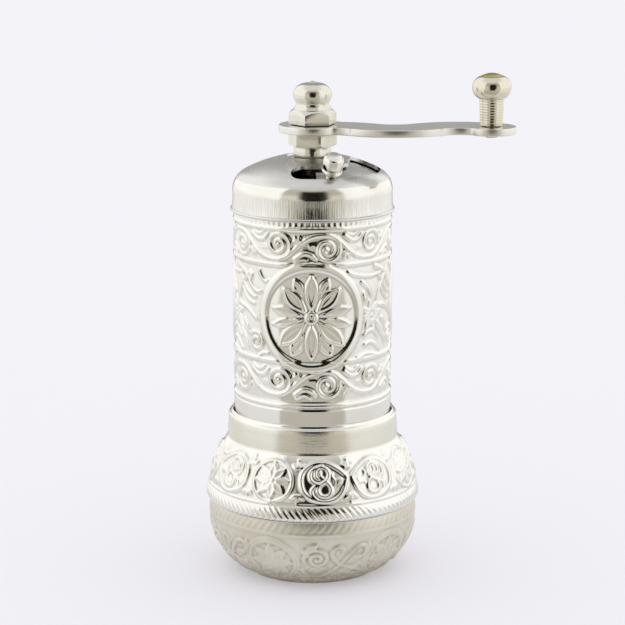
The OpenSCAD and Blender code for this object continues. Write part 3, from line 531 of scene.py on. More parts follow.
# tube: a stamped sheet with a medallion belt between two vine friezes
# leaves are place, lean, length and width; curls are place, flip, start, turns, outer, inner and points
tube = {
    "columns": 720, "radius": 16.9, "ground": 16.63, "bore": 15.8, "spigot": 16.58, "soften": 1.15,
    "foot": 27.6, "plainTop": 37.4, "vineFoot": 37.6, "seat": 79.2, "seatGap": 0.02, "spigotTop": 83.4,
    "plainRows": 8, "lowerRows": 80, "beltRows": 133, "upperRows": 60, "tileStart": 0.5,
    "rings": (77.8, 70.2, 49.5, 40.0), "ringHeight": 0.42, "ringHalf": 0.62,
    "thinDrop": 1.05, "thinHalf": 0.35, "thinHeight": 0.3, "plainFade": 0.25,
    "dashes": 84, "dashSharp": 1.6, "dashHeight": 0.14, "dashGround": 0.02, "dashGap": 0.3,
    "vines": 5, "vineTurn": 11.0, "vineHeight": 0.36, "vineHalf": 3.45, "friezeMiddles": (74.0, 44.9),
    "vineDrop": 0.5, "ticks": 36, "tickFrom": 1.9, "tickTo": 3.15, "tickHeight": 0.16,
    "sprig": ((118, 2.3), (84, 2.1), (150, 1.9)),                     # lean and length of each leaf
    "sprigAt": (-6.1, 1.0), "sprigWide": 0.95, "sprigHeight": 0.8,
    "volute": (110, 1.95, 3.3, 0.55, 60),                             # start, turns, outer, inner, points
    "voluteWide": 0.92, "voluteTaper": 0.62, "eye": 0.42, "eyeHeight": 0.9,
    "stem": (((-12.0, -2.1), (-10.0, -1.95), (-8.1, -0.95), (-6.3, 0.8), (-4.5, 2.2), (-2.6, 2.95),
              (-1.1, 3.1)), 1.0, 1.0, 1.0), "stemSteps": 5,
    "vineStrokes": (
        (((-6.8, -1.9), (-5.2, -0.85), (-3.6, -1.0), (-2.5, -2.1)), 1.2, 0.5, 1.0),
        (((-6.6, -2.7), (-5.0, -1.9), (-3.4, -2.75)), 0.9, 0.5, 0.8),
        (((-3.9, 1.15), (-3.45, 0.25)), 0.3, 1.0, 0.45),              # fine rays beside the volute
        (((-3.3, 1.15), (-2.85, 0.25)), 0.3, 1.0, 0.45),
        (((-2.7, 1.15), (-2.25, 0.25)), 0.3, 1.0, 0.45),
    ),
    "medallions": 3, "medallionTurn": -0.8, "medallionZ": 59.1, "medallionRing": 10.85, "medallionHalf": 1.08,
    "insideHeight": 0.44, "medallionHeight": 0.46, "sunkWide": 0.18, "sunkHeight": 0.03, "beltHeight": 0.42,
    "spokes": 100, "spokeFrom": 7.2, "spokeTo": 9.7, "spokeHeight": 0.2,
    "heart": 1.45, "heartRing": (1.0, 0.8), "heartDot": 0.55,
    "petals": (                                                       # lean, start, length, width, height
        (24, 4.0, 5.2, 2.3, 0.86), (153, 3.6, 5.8, 3.0, 0.86), (101, 1.4, 7.9, 2.1, 0.9),
        (78, 1.4, 7.9, 2.2, 0.93), (45, 1.1, 7.8, 3.0, 0.97), (131, 1.1, 8.5, 3.4, 0.97),
        (0, 1.1, 8.2, 2.9, 1.0), (180, 1.1, 8.2, 2.9, 1.0),
    ),
    "petalLine": 0.62, "petalField": 0.4, "petalBelly": 1.1, "petalGap": 0.25, "petalMargin": 0.2,
    "star": (-3.3, -0.5), "starDot": 0.7, "starLeans": range(12, 372, 45), "starFoot": 0.5,
    "starLeaf": (3.2, 1.45, 0.6), "starHeight": 0.9,
    "beltCurl": (4.7, -6.0, 1, 140, 1.6, 2.3, 0.5, 44), "beltCurlWide": 0.95, "beltCurlTaper": 0.7,
    "beltLeaves": ((-5.2, 2.2, 100, 3.0, 1.2), (-1.2, -2.2, -50, 2.4, 1.1), (2.6, 6.9, 60, 2.4, 1.0)),
    "beltLeafHeight": 0.85,
    "beltStrokes": (
        (((-2.2, 10.0), (-0.4, 9.2), (1.6, 8.2), (3.3, 6.0), (4.7, 4.9), (6.0, 4.9)), 1.5, 0.5, 1.0),
        (((-0.6, 7.6), (0.7, 6.0), (2.0, 4.6), (3.4, 3.8), (4.6, 3.6)), 1.0, 0.6, 1.0),
        (((0.2, 5.0), (1.4, 3.4), (2.8, 2.4), (4.2, 2.1)), 0.9, 0.6, 1.0),
        (((-0.8, 1.4), (1.0, 1.1), (2.8, 0.3), (5.0, -1.3)), 1.5, 0.4, 1.0),
        (((-1.6, -2.2), (-0.4, -4.0), (1.1, -5.6), (2.2, -7.6)), 1.2, 0.5, 1.0),
        (((0.6, -1.6), (1.8, -3.0), (2.2, -4.4)), 0.9, 0.6, 1.0),
        (((5.6, 9.4), (6.4, 7.9), (7.6, 7.3), (9.6, 8.4)), 0.9, 0.6, 1.0),
        (((5.4, -9.2), (6.6, -8.2), (8.0, -8.2)), 0.9, 0.6, 1.0),
        (((2.7, 8.6), (0.6, 6.8), (-0.9, 4.6), (-1.8, 2.6)), 1.4, 0.5, 1.0),
        (((-9.6, 9.3), (-6.6, 8.4), (-3.2, 8.0), (0.3, 8.4)), 1.1, 0.6, 1.0),
        (((-6.2, 7.0), (-4.6, 5.6), (-3.4, 3.6)), 1.0, 0.6, 1.0),
        (((-5.6, -4.6), (-4.2, -3.7), (-2.4, -4.0), (-1.0, -5.6)), 1.0, 0.6, 1.0),
        (((-7.6, -9.4), (-5.4, -8.6), (-3.2, -8.8), (-0.6, -9.4)), 1.2, 0.5, 1.0),
        (((-5.4, -6.6), (-3.8, -6.2), (-2.0, -7.0), (-0.4, -8.4)), 0.9, 0.6, 1.0),
    ),
}


# the vine swings up and down in turn, so every second volute is flipped
def friezeTile(columns, rows):
    period = 2 * math.pi * tube["radius"] / tube["vines"]
    u, v = tileSheet(columns, period, tube["tileStart"], rows)
    ticks = np.clip(np.cos(2 * math.pi * u / (period / tube["ticks"])), 0, 1)
    height = tube["tickHeight"] * ticks * (np.abs(v) > tube["tickFrom"]) * (np.abs(v) < tube["tickTo"])
    for k in range(-3, 4):
        flip = 1 if k % 2 == 0 else -1
        x, y = k * period / 2, -tube["vineDrop"] * flip
        sprigX, sprigY = x + tube["sprigAt"][0], y + flip * tube["sprigAt"][1]
        for lean, long in tube["sprig"]:
            leaf = veinedLeaf(u, v, sprigX, sprigY, flip * lean, long, tube["sprigWide"])
            height = over(height, tube["sprigHeight"] * leaf)
        volute = spiralLine(x, y, flip, *tube["volute"])
        height = over(height, drawStrokes(u, v, (x, y), (1, flip), tube["vineStrokes"]),
                      drawStrokes(u, v, (x, y), (1, flip), [tube["stem"]], tube["stemSteps"]),
                      ridgeLine(u, v, volute, tube["voluteWide"], tube["voluteTaper"]),
                      tube["eyeHeight"] * dotShape(u, v, x, y, tube["eye"]))
    return height


# petals that lie over each other, on a ground of fine spokes
def flowerInside(u, v, far):
    spokes = np.clip(np.cos(np.arctan2(u, v) * tube["spokes"]), 0, 1) * np.clip(far - tube["spokeFrom"], 0, 1)
    inside = tube["spokeHeight"] * spokes * (far < tube["spokeTo"])
    belly = tube["petalBelly"]
    for lean, base, long, wide, lift in tube["petals"]:
        for side in (1, -1) if lean % 180 else (1,):
            way = 90 - side * lean
            x, y = base * math.cos(math.radians(way)), base * math.sin(math.radians(way))
            petal = veinedLeaf(u, v, x, y, way, long, wide, tube["petalLine"], tube["petalField"], belly)
            shape = leafInside(u, v, x, y, way, long, wide, belly)
            beyond = inside * (shape < -tube["petalMargin"])
            inside = np.where(shape > -tube["petalGap"], over(lift * petal, beyond), inside)
    dot = tube["eyeHeight"] * dotShape(u, v, 0, 0, tube["heartDot"])
    return np.where(far < tube["heart"], over(ringLine(u, v, 0, 0, *tube["heartRing"]), dot), inside)


# leaves and a star flower in the column between two medallions
def beltOutside(u, v):
    curl = ridgeLine(u, v, spiralLine(*tube["beltCurl"]), tube["beltCurlWide"], tube["beltCurlTaper"])
    star = leafRing(u, v, *tube["star"], tube["starLeans"], tube["starFoot"], *tube["starLeaf"])
    shape = over(dotShape(u, v, *tube["star"], tube["starDot"]), star * tube["starHeight"], curl,
                 drawStrokes(u, v, (0, 0), (1, 1), tube["beltStrokes"]))
    for leaf in tube["beltLeaves"]:
        shape = over(shape, tube["beltLeafHeight"] * plumpLeaf(u, v, *leaf))
    return shape


def tubeHeights(rows):
    columns, rows = tube["columns"], np.asarray(rows)
    height = np.zeros((len(rows), columns))
    at = tileColumns(columns, tube["vines"], tube["vineTurn"], tube["tileStart"])
    for middle in tube["friezeMiddles"]:
        near = np.abs(rows - middle) < tube["vineHalf"]
        if near.any():
            tile = friezeTile(columns // tube["vines"], rows[near] - middle)
            height[near] = over(height[near], tile[:, at] * tube["vineHeight"])
    period = 2 * math.pi * tube["radius"] / tube["medallions"]
    u, v = tileSheet(columns // tube["medallions"], period, tube["tileStart"], rows - tube["medallionZ"])
    at = tileColumns(columns, tube["medallions"], tube["medallionTurn"], tube["tileStart"])
    far = np.hypot(u, v)
    ring = np.clip(1 - ((far - tube["medallionRing"]) / tube["medallionHalf"]) ** 4, 0, 1)
    medallion = over(flowerInside(u, v, far) * tube["insideHeight"], ring * tube["medallionHeight"])[:, at]
    outside = beltOutside(np.where(u > 0, u - period / 2, u + period / 2), v)[:, at]
    far, edge = far[:, at], tube["medallionRing"] + tube["medallionHalf"]
    top, high, low, foot = tube["rings"]
    height = np.where(((rows < high) & (rows > low))[:, None], outside * tube["beltHeight"], height)
    thin = foot - tube["thinDrop"]                                    # second line under the lowest ring
    bars = [roundBar(rows, z, tube["ringHalf"]) * tube["ringHeight"] for z in tube["rings"]]
    bars += [roundBar(rows, thin, tube["thinHalf"]) * tube["thinHeight"],
             np.clip((thin - rows) / tube["plainFade"], 0, 1) * (tube["radius"] - tube["ground"])]
    height = over(height, over(*bars)[:, None])
    under = (rows > top + tube["dashGap"])[:, None]                   # row of dashes under the lid
    dash = np.cos(np.radians(frontAngles(columns)) * tube["dashes"])[None, :]
    dash = np.clip(dash * tube["dashSharp"], 0, 1)
    height = over(height, (tube["dashHeight"] * dash + tube["dashGround"]) * under)
    height = np.where(far < edge + tube["sunkWide"], tube["sunkHeight"], height)
    return np.where(far < edge, medallion, height)


def tubeStrip(name, rows, below, above):
    skin = [(tube["ground"], z) for z in rows]
    closed = [*below, *skin, *above]
    piece = turnPiece(name, [*closed, closed[0]], tube["columns"])
    emboss(piece, tubeHeights(rows), skin, tube["columns"], tube["soften"])
    dress(piece, "mill", "stampedNickel", "body_tube", smoothBelow=60)


highRing, lowRing = tube["rings"][1:3]
tubeStrip("tubeLowerFrieze", [*np.linspace(tube["foot"], tube["plainTop"], tube["plainRows"]),
                              *np.linspace(tube["vineFoot"], lowRing, tube["lowerRows"])],
          [(tube["bore"], lowRing), (tube["bore"], tube["foot"])], [])
tubeStrip("tubeMedallions", np.linspace(lowRing, highRing, tube["beltRows"]),
          [(tube["bore"], highRing), (tube["bore"], lowRing)], [])
tubeStrip("tubeUpperFrieze", np.linspace(highRing, tube["seat"] - tube["seatGap"], tube["upperRows"]),
          [(tube["bore"], tube["spigotTop"]), (tube["bore"], highRing)],
          [(tube["spigot"], tube["seat"]), (tube["spigot"], tube["spigotTop"])])
print("tube stamped")


# bell: plain collar over a belt of rosettes and heart leaves, with a rope rim
bell = {
    "columns": 848, "soften": 1.1, "seam": 16.3, "seamGap": 0.22, "rimTop": 19.7, "rimRadius": 23.08,
    "rimRows": 24, "rimBulge": 0.2, "rimLean": 0.5, "rimBore": 21.6, "rimGap": 0.02, "rimProud": 0.12,
    "strands": 106, "ropeLean": 0.85, "ropeDepth": 0.34, "strandStart": 2.0, "strandFade": 11.0,
    "underside": -0.6, "bandStep": 0.5, "bandRows": 74, "bulge": 0.7, "collarFoot": (18.42, 29.7),
    "collar": ((18.42, 30.3), (18.36, 31.4), (18.3, 32.6), (18.22, 33.6)),
    "collarLow": 29.9, "collarHigh": 34.9, "collarInner": 17.6,
    "lipCorner": ((17.55, 34.55), 0.66, 8, 82, 6),                    # middle, radius, from, to, points
    "lip": ((17.55, 35.4), (17.5, 35.72), (17.42, 35.8), (17.34, 35.74)),
    "bore": 16.98, "boreTop": 35.0, "ledge": (16.07, 27.6), "ledgeFoot": 26.4,
    "inside": ((17.8, 26.4), (20.4, 22.6)), "rimInside": 20.6,
    "relief": 0.36, "turn": -23.5, "quarters": 4, "tileStart": 1 / 6, "middleRadius": 21.3,
    "beltTop": 5.1, "beltFade": 0.3, "footLine": (-5.25, 0.3), "footLineHeight": 0.8,
    "rosette": (-0.35, 4.35), "heartShift": 0.15, "heartLeaf": (2.1, -0.9, 62, 2.7, 2.2),
    "heartLeafHeight": 0.6, "drop": 0.3, "sprigAt": 2.5, "sprigLeans": (90, 40, 140),
    "sprigLeaf": (2.1, 0.95), "sprigHeight": 0.8, "beadAt": 4.75, "bead": 0.4,
    "heartStrokes": (
        (((4.9, 0.5), (3.2, 2.2), (0.4, 3.7), (-2.4, 3.6), (-4.6, 1.9), (-5.0, -0.5), (-4.0, -2.9),
          (-1.3, -4.3), (1.6, -4.2), (3.6, -2.6), (4.9, 0.5)), 1.0, 1.0, 1.0),
        (((-1.9, 2.2), (-0.9, 2.85), (0.3, 2.6), (0.95, 1.6), (0.75, 0.5), (-0.1, -0.3), (-1.1, -1.0),
          (-1.5, -2.1), (-0.95, -3.15), (0.15, -3.4), (1.1, -2.8), (1.3, -1.7), (0.75, -0.7), (0.1, -0.1)),
         0.85, 0.9, 1.0),
        (((-0.4, 3.3), (-2.1, 2.75), (-3.1, 1.6), (-3.0, 0.2), (-2.0, -0.6), (-1.2, -0.7)), 0.7, 0.7, 1.0),
        (((-1.9, -1.1), (-2.7, -1.9), (-2.6, -3.0), (-1.5, -3.9)), 0.65, 0.6, 1.0),
        (((-1.9, 1.9), (-1.95, 0.9), (-1.2, 0.2)), 0.6, 0.6, 1.0),
        (((-0.9, 2.0), (-1.0, 1.1), (-0.3, 0.4)), 0.5, 0.6, 1.0),
        (((1.75, 1.5), (1.6, 0.8), (2.1, -0.1), (1.85, -1.2)), 0.45, 0.8, 1.0),
    ),
}


def heartScroll(u, v, x, hand):
    leafX, leafY, lean, long, wide = bell["heartLeaf"]
    leaf = plumpLeaf(u, v, x + hand * leafX, leafY, 90 - hand * lean, long, wide)
    scroll = drawStrokes(u, v, (x, 0), (hand, 1), bell["heartStrokes"])
    return over(scroll, bell["heartLeafHeight"] * leaf)


rosettes = {"petals": 8, "line": 0.55, "dot": 0.7, "foot": 0.45, "long": 0.86, "wide": 0.4, "height": 0.9}


# ring with petals in it, on the bell and on the cup
def rosette(u, v, x, y, radius):
    leans = np.arange(rosettes["petals"]) * 360.0 / rosettes["petals"]
    long, wide = radius * rosettes["long"], radius * rosettes["wide"]
    petals = leafRing(u, v, x, y, leans, rosettes["foot"], long, wide)
    return over(ringLine(u, v, x, y, radius, rosettes["line"]), dotShape(u, v, x, y, rosettes["dot"]),
                rosettes["height"] * petals)


# each quarter has a rosette and two hearts that point at each other, with small sprigs in the corners
def bellHeights(slant):
    columns, quarters = bell["columns"], bell["quarters"]
    period = 2 * math.pi * bell["middleRadius"] / quarters
    step = period / 3
    u, v = tileSheet(columns // quarters, period, bell["tileStart"], slant)
    height = roundBar(v, *bell["footLine"]) * bell["footLineHeight"]
    for k in range(-3, 6):
        x, hand = k * step, (0, 1, -1)[k % 3]
        if hand:
            height = over(height, heartScroll(u, v, x + hand * bell["heartShift"], hand))
        else:
            height = over(height, rosette(u, v, x, *bell["rosette"]))
        for up in (1, -1):
            sprigY, beadY = up * bell["sprigAt"] - bell["drop"], up * bell["beadAt"] - bell["drop"]
            sprig = dotShape(u, v, x + step / 2, beadY, bell["bead"])
            for lean in bell["sprigLeans"]:
                sprig = over(sprig, plumpLeaf(u, v, x + step / 2, sprigY, up * lean, *bell["sprigLeaf"]))
            height = over(height, bell["sprigHeight"] * sprig)
    height *= np.clip((bell["beltTop"] - v) / bell["beltFade"], 0, 1)
    return height[:, tileColumns(columns, quarters, bell["turn"], bell["tileStart"])] * bell["relief"]


band = arcPoints((bell["rimRadius"] - bell["bandStep"], bell["rimTop"]), bell["collarFoot"], bell["bulge"],
                 bell["bandRows"])
ledgeRadius, ledgeZ = bell["ledge"]
bellShell = turnPiece("bellShell", [
    *band, *bell["collar"], *roundPoints(*bell["lipCorner"]), *bell["lip"], (bell["bore"], bell["boreTop"]),
    (bell["bore"], ledgeZ), (ledgeRadius, ledgeZ), (ledgeRadius, bell["ledgeFoot"]), *bell["inside"],
    (bell["rimBore"], bell["rimInside"]), (bell["rimBore"], bell["rimTop"]), band[0]], bell["columns"])
emboss(bellShell, bellHeights(wayUp(band)), band, bell["columns"], bell["soften"])
dress(bellShell, "bell", "stampedNickel", "base_bell", smoothBelow=50)
paintFaces(bellShell, "collarNickel", lambda reach, rise, up: (
    bell["collarLow"] < rise < bell["collarHigh"] and reach > bell["collarInner"]))

rimFoot = bell["rimRadius"] - bell["ropeDepth"] + bell["rimProud"]
rimLow, rimHigh = bell["seam"] + bell["seamGap"], bell["rimTop"] - bell["rimGap"]
rim = arcPoints((rimFoot, rimLow), (rimFoot - bell["rimLean"], rimHigh), bell["rimBulge"], bell["rimRows"])
lean = bell["ropeLean"] / bell["rimRadius"] * (np.array(rim)[:, 1:] - bell["seam"])
along = bell["strands"] * (np.radians(frontAngles(bell["columns"])) + lean) / (2 * math.pi)
strand = 1 - np.abs(2 * (along % 1.0) - 1) ** 4
rimSteps = np.arange(bell["rimRows"])
ends = np.clip(np.minimum(rimSteps / bell["strandStart"], rimSteps[::-1] / bell["strandFade"]), 0, 1)
ropeRim = turnPiece("ropeRim", [*rim, (bell["rimBore"], rimHigh), (bell["rimBore"], rimLow), rim[0]],
                    bell["columns"])
emboss(ropeRim, strand * ends[:, None] * bell["ropeDepth"], rim, bell["columns"], bell["soften"])
dress(ropeRim, "bell", "stampedNickel", "base_bell", smoothBelow=60)
# painted shade: the underside of the rim, over the seam, takes the dark steel
paintFaces(ropeRim, "burrSteelAndShade", lambda reach, rise, up: up < bell["underside"])
print("bell stamped")


# cup: satin bowl with a fainter belt of ornament
cup = {
    "columns": 760, "soften": 1.45, "foot": ((0, 0.0), (7, 0.0), (13.7, 0.0), (14.15, 0.06)),
    "wallFoot": (14.62, 0.42), "wallTop": (22.26, 16.04), "bulge": 2.94, "wallRows": 100, "shadeBelow": 5.6,
    "seam": ((22.3, 16.14), (22.1, 16.2)), "seamZ": 16.15, "seamReach": 0.1, "seamUp": 0.5,
    "spigotFoot": 16.2, "spigot": 21.52, "spigotTop": 18.9, "spigotWall": 1.0, "spigotEdge": 0.2,
    "inner": ((12.9, 1.0), (20.5, 15.2), 2.4, 9), "floor": ((6, 1.0), (0, 1.0)),
    "relief": 0.27, "turn": -24.5, "periods": 5, "tileStart": 0.25, "middleRadius": 21.0,
    "ropes": 17, "ropeHeight": 0.27, "ropeZ": 8.0, "ropeHalf": 1.1, "ropeLean": 0.75,
    "lines": ((6.6, 0.3, 0.42), (-6.3, 0.35, 0.9)),                   # place, half width, height
    "rosette": (-0.4, 5.2), "outerRing": (-0.4, 5.9, 0.35), "outerRingHeight": 0.8,
    "curl": (9.9, 0.9, 1, 200, 1.9, 2.9, 0.5, 46), "curlWide": 0.85, "curlTaper": 0.7, "leafHeight": 0.85,
    "vineStrokes": (
        (((6.4, -2.2), (7.8, -4.4), (10.2, -4.9), (12.6, -3.6), (14.6, -1.3), (16.4, 1.2), (18.2, 3.4),
          (19.9, 3.6), (20.4, 2.0), (19.3, 0.7), (18.0, 1.0)), 0.9, 0.7, 1.0),
        (((20.3, -3.4), (17.8, -2.2), (15.6, -1.2), (13.6, 0.6), (12.9, 2.6), (14.2, 3.9), (15.5, 3.0),
          (15.1, 1.9)), 0.8, 0.7, 1.0),
    ),
    "leaves": ((8.2, -2.6, 12, 4.0, 2.1), (15.2, -3.6, 24, 4.6, 2.0), (16.6, -0.4, 30, 3.6, 1.6),
               (10.0, 4.6, -150, 3.2, 1.3), (6.9, 3.6, -60, 2.6, 1.2), (19.6, -4.6, 165, 3.4, 1.3),
               (21.0, 4.4, -100, 3.0, 1.2)),
}


def cupHeights(slant):
    columns, periods = cup["columns"], cup["periods"]
    period = 2 * math.pi * cup["middleRadius"] / periods
    u, v = tileSheet(columns // periods, period, cup["tileStart"], slant)
    rope = np.clip(np.cos(2 * math.pi * (u - cup["ropeLean"] * v) / (period / cup["ropes"])), 0, 1)
    height = cup["ropeHeight"] * rope * np.clip(1 - ((v - cup["ropeZ"]) / cup["ropeHalf"]) ** 4, 0, 1)
    for middle, half, lift in cup["lines"]:
        height = over(height, roundBar(v, middle, half) * lift)
    curlX, *curl = cup["curl"]
    for x in (-period, 0, period):
        height = over(height, rosette(u, v, x, *cup["rosette"]),
                      cup["outerRingHeight"] * ringLine(u, v, x, *cup["outerRing"]),
                      drawStrokes(u, v, (x, 0), (1, 1), cup["vineStrokes"]),
                      ridgeLine(u, v, spiralLine(x + curlX, *curl), cup["curlWide"], cup["curlTaper"]))
        for leafX, *leaf in cup["leaves"]:
            height = over(height, cup["leafHeight"] * veinedLeaf(u, v, x + leafX, *leaf))
    return height[:, tileColumns(columns, periods, cup["turn"], cup["tileStart"])] * cup["relief"]


wall = arcPoints(cup["wallFoot"], cup["wallTop"], cup["bulge"], cup["wallRows"])
spigot, spigotTop, spigotEdge = cup["spigot"], cup["spigotTop"], cup["spigotEdge"]
spigotInner = spigot - cup["spigotWall"]
cupBowl = turnPiece("cupBowl", [
    *cup["foot"], *wall, *cup["seam"], (spigot, cup["spigotFoot"]), (spigot, spigotTop - spigotEdge),
    (spigot - spigotEdge, spigotTop), (spigotInner + spigotEdge, spigotTop),
    (spigotInner, spigotTop - spigotEdge), *arcPoints(*cup["inner"])[::-1], *cup["floor"]], cup["columns"])
emboss(cupBowl, cupHeights(wayUp(wall)), wall, cup["columns"], cup["soften"])
hollows = cupBowl.data.attributes["hollow"].data                      # painted shade: the wall darkens towards the foot, standing in for the shadowed floor that it reflects
dull = np.zeros(len(hollows), np.float32)
hollows.foreach_get("value", dull)
places = np.zeros(3 * len(hollows), np.float32)
cupBowl.data.vertices.foreach_get("co", places)
footShade = np.clip((cup["shadeBelow"] - places[2::3] / mm) / cup["shadeBelow"], 0, 1)
hollows.foreach_set("value", (dull + footShade * (1 - dull)).astype(np.float32))
dress(cupBowl, "cup", "satinNickel", "base_cup", smoothBelow=50)
# painted shade: the seam's ledge, under the overhang of the rim, takes the dark steel
paintFaces(cupBowl, "burrSteelAndShade", lambda reach, rise, up: (
    up > cup["seamUp"] and abs(rise - cup["seamZ"]) < cup["seamReach"]))
print("cup stamped")


# lid: turned dome over a brushed skirt, with the filler opening cut by curved tools
lid = {
    "steps": 256, "radius": 17.3, "wall": 0.7, "seat": 79.2, "footEdge": 0.2,
    "beadHeight": 0.8, "beadProud": 0.3, "beadFoot": 0.04,
    "top": 17.1, "flareHeight": 3.4, "flarePower": 1.9, "skirtFrom": 0.12, "skirtGap": 0.02,
    "domeRadius": 31.5, "domeZ": 59.876, "shoulder": 4.4, "shoulderZ": 83.81,
    "seatRadius": 5.2, "seatZ": 89.976, "seatRound": 0.35, "hole": 3.88,
    "seatEdge": ((0.1, 0.72), (0, 0.5), (0, 0)),                      # from the seat's corner, out and up
    "slots": ((14.2, 5.0, -100.0, -6.0), (14.5, 6.5, -20.0, 8.0)),    # outer radius, width, from, to
    "cutFrom": 83.6, "cutDepth": 12.0, "brushFrom": 0.9, "brushInner": 16.8, "crease": 86.3, "creaseIn": 0.65,
}


# upright from the shoulder down, flared towards the bead
def skirtRadius(z):
    low, flareFrom = lid["seat"] + lid["beadHeight"], lid["seat"] + lid["flareHeight"]
    away = max(0.0, (flareFrom - z) / (flareFrom - low))
    return lid["top"] + (lid["radius"] - lid["top"]) * away ** lid["flarePower"]


def lidProfile():
    radius, wall, seat, seatZ = lid["radius"], lid["wall"], lid["seat"], lid["seatZ"]
    dome, domeMid, beadTop = lid["domeRadius"], (0, lid["domeZ"]), seat + lid["beadHeight"]
    corner = (lid["top"] - lid["shoulder"], lid["shoulderZ"])
    tangent = math.degrees(math.atan2(lid["shoulderZ"] - lid["domeZ"], corner[0]))
    seatEdge = math.degrees(math.acos((lid["seatRadius"] + lid["seatRound"]) / dome))
    underEdge = math.degrees(math.acos((lid["seatRadius"] + wall) / (dome - wall)))
    skirt = np.linspace(beadTop + lid["skirtFrom"], lid["shoulderZ"] - lid["skirtGap"], 22)
    profile = [
        (radius - wall, seat), (radius - lid["footEdge"], seat),
        *arcPoints((radius, seat + lid["beadFoot"]), (radius, beadTop), lid["beadProud"], 9),
        *[(skirtRadius(z), z) for z in skirt], *roundPoints(corner, lid["shoulder"], 0, tangent, 12),
        *roundPoints(domeMid, dome, tangent, seatEdge, 34)[1:],
        *[(lid["seatRadius"] + out, seatZ + up) for out, up in lid["seatEdge"]],
        (lid["hole"], seatZ), (lid["hole"], seatZ - wall),
        (lid["seatRadius"] + wall, seatZ - wall), *roundPoints(domeMid, dome - wall, underEdge, tangent, 20),
        *roundPoints(corner, lid["shoulder"] - wall, tangent, 0, 6)[1:]]
    return [*profile, profile[0]]


# curved slot with round ends, as an outline
def slotOutline(outer, wide, slotFrom, slotTo):
    middle = outer - wide / 2
    endFrom, endTo = roundPoints((0, 0), middle, slotFrom, slotTo, 2)
    return [*roundPoints((0, 0), outer, slotFrom, slotTo, 40),
            *roundPoints(endTo, wide / 2, slotTo, slotTo + 180, 17)[1:-1],
            *roundPoints((0, 0), outer - wide, slotTo, slotFrom, 40),
            *roundPoints(endFrom, wide / 2, slotFrom + 180, slotFrom + 360, 17)[1:-1]]


domeLid = turnPiece("domeLid", lidProfile(), lid["steps"])
for slot in lid["slots"]:
    slotTool = platePiece("slotTool", slotOutline(*slot), lid["cutFrom"], lid["cutDepth"])
    shapeBy(domeLid, slotTool, "DIFFERENCE")
dress(domeLid, "mill", "domeNickel", "dome_lid", smoothBelow=40)
paintFaces(domeLid, "brushedNickel", lambda reach, rise, up: (
    lid["seat"] + lid["brushFrom"] < rise < lid["shoulderZ"] and reach > lid["brushInner"]))
paintFaces(domeLid, "shoulderNickel", lambda reach, rise, up: (
    lid["shoulderZ"] < rise < lid["crease"] and reach > lid["top"] - lid["creaseIn"]))
print("lid turned and cut")


# shutter under the dome, and its turned knob
shutter = {
    "from": -86.0, "span": 148.0, "steps": 148, "radius": 30.35, "wall": 0.7, "domeZ": 59.876,
    "outer": 15.2, "edge": 0.1, "edgeDrops": (0.2, 0.5), "hubZ": 88.456, "hole": 3.92,
    "stepInner": 6.35, "stepOuter": 7.05, "stepRound": (0.2, 0.15), "knobAt": 12.1, "knobLag": 14.5,
    "knobFoot": ((0, -1.2), (1.4, -1.2), (1.6, -1.05), (1.6, -0.8), (1.1, -0.8), (1.1, 0.72), (1.25, 0.85),
                 (1.7, 1.25), (2.08, 1.62), (2.15, 1.8), (2.15, 2.0), (2.05, 2.16), (1.86, 2.24),
                 (1.84, 2.32), (1.92, 2.4)),
    "knobSide": ((2.02, 2.48), (2.08, 4.85), 0.14, 10), "knobTop": ((1.5, 5.45), (0.0, 5.58), 0.03, 6),
    "knobEdge": ((2.02, 5.12), (1.86, 5.32), (1.62, 5.42)),
}


def shutterPoint(radius, reach):
    return (reach, shutter["domeZ"] + math.sqrt(radius ** 2 - reach ** 2))


reaches = np.linspace(shutter["stepOuter"], shutter["outer"] - shutter["edge"], 16)
shell = [shutterPoint(shutter["radius"], r) for r in reaches]
shell += [shutterPoint(shutter["radius"] - drop, shutter["outer"]) for drop in shutter["edgeDrops"]]
shell += [shutterPoint(shutter["radius"] - shutter["wall"], r) for r in reaches[::-1]]
hubTop, (stepX, stepZ) = shutter["hubZ"] + shutter["wall"], shutter["stepRound"]
hub = [(shutter["stepOuter"], shutter["hubZ"]), (shutter["hole"], shutter["hubZ"]), (shutter["hole"], hubTop),
       (shutter["stepInner"], hubTop), (shutter["stepInner"], shell[0][1] - stepZ),
       (shutter["stepInner"] + stepX, shell[0][1])]
fillerShutter = turnPiece("fillerShutter", [*shell, *hub, shell[0]], shutter["steps"], shutter["span"])
turnMesh(fillerShutter, shutter["from"])
dress(fillerShutter, "shutter", "domeNickel", "filler_shutter", smoothBelow=35)

shutterKnob = turnPiece("shutterKnob", [
    *shutter["knobFoot"], *arcPoints(*shutter["knobSide"]), *shutter["knobEdge"],
    *arcPoints(*shutter["knobTop"])], smallSteps)
movePiece(shutterKnob, 0, 0, shutter["radius"])                       # stands square to the dome
turnMesh(shutterKnob, math.degrees(math.asin(shutter["knobAt"] / shutter["radius"])), "Y")
turnMesh(shutterKnob, shutter["from"] + shutter["knobLag"])
movePiece(shutterKnob, 0, 0, shutter["domeZ"])
dress(shutterKnob, "shutter", "shoulderNickel", "shutter_knob", smoothBelow=40)
print("shutter made")


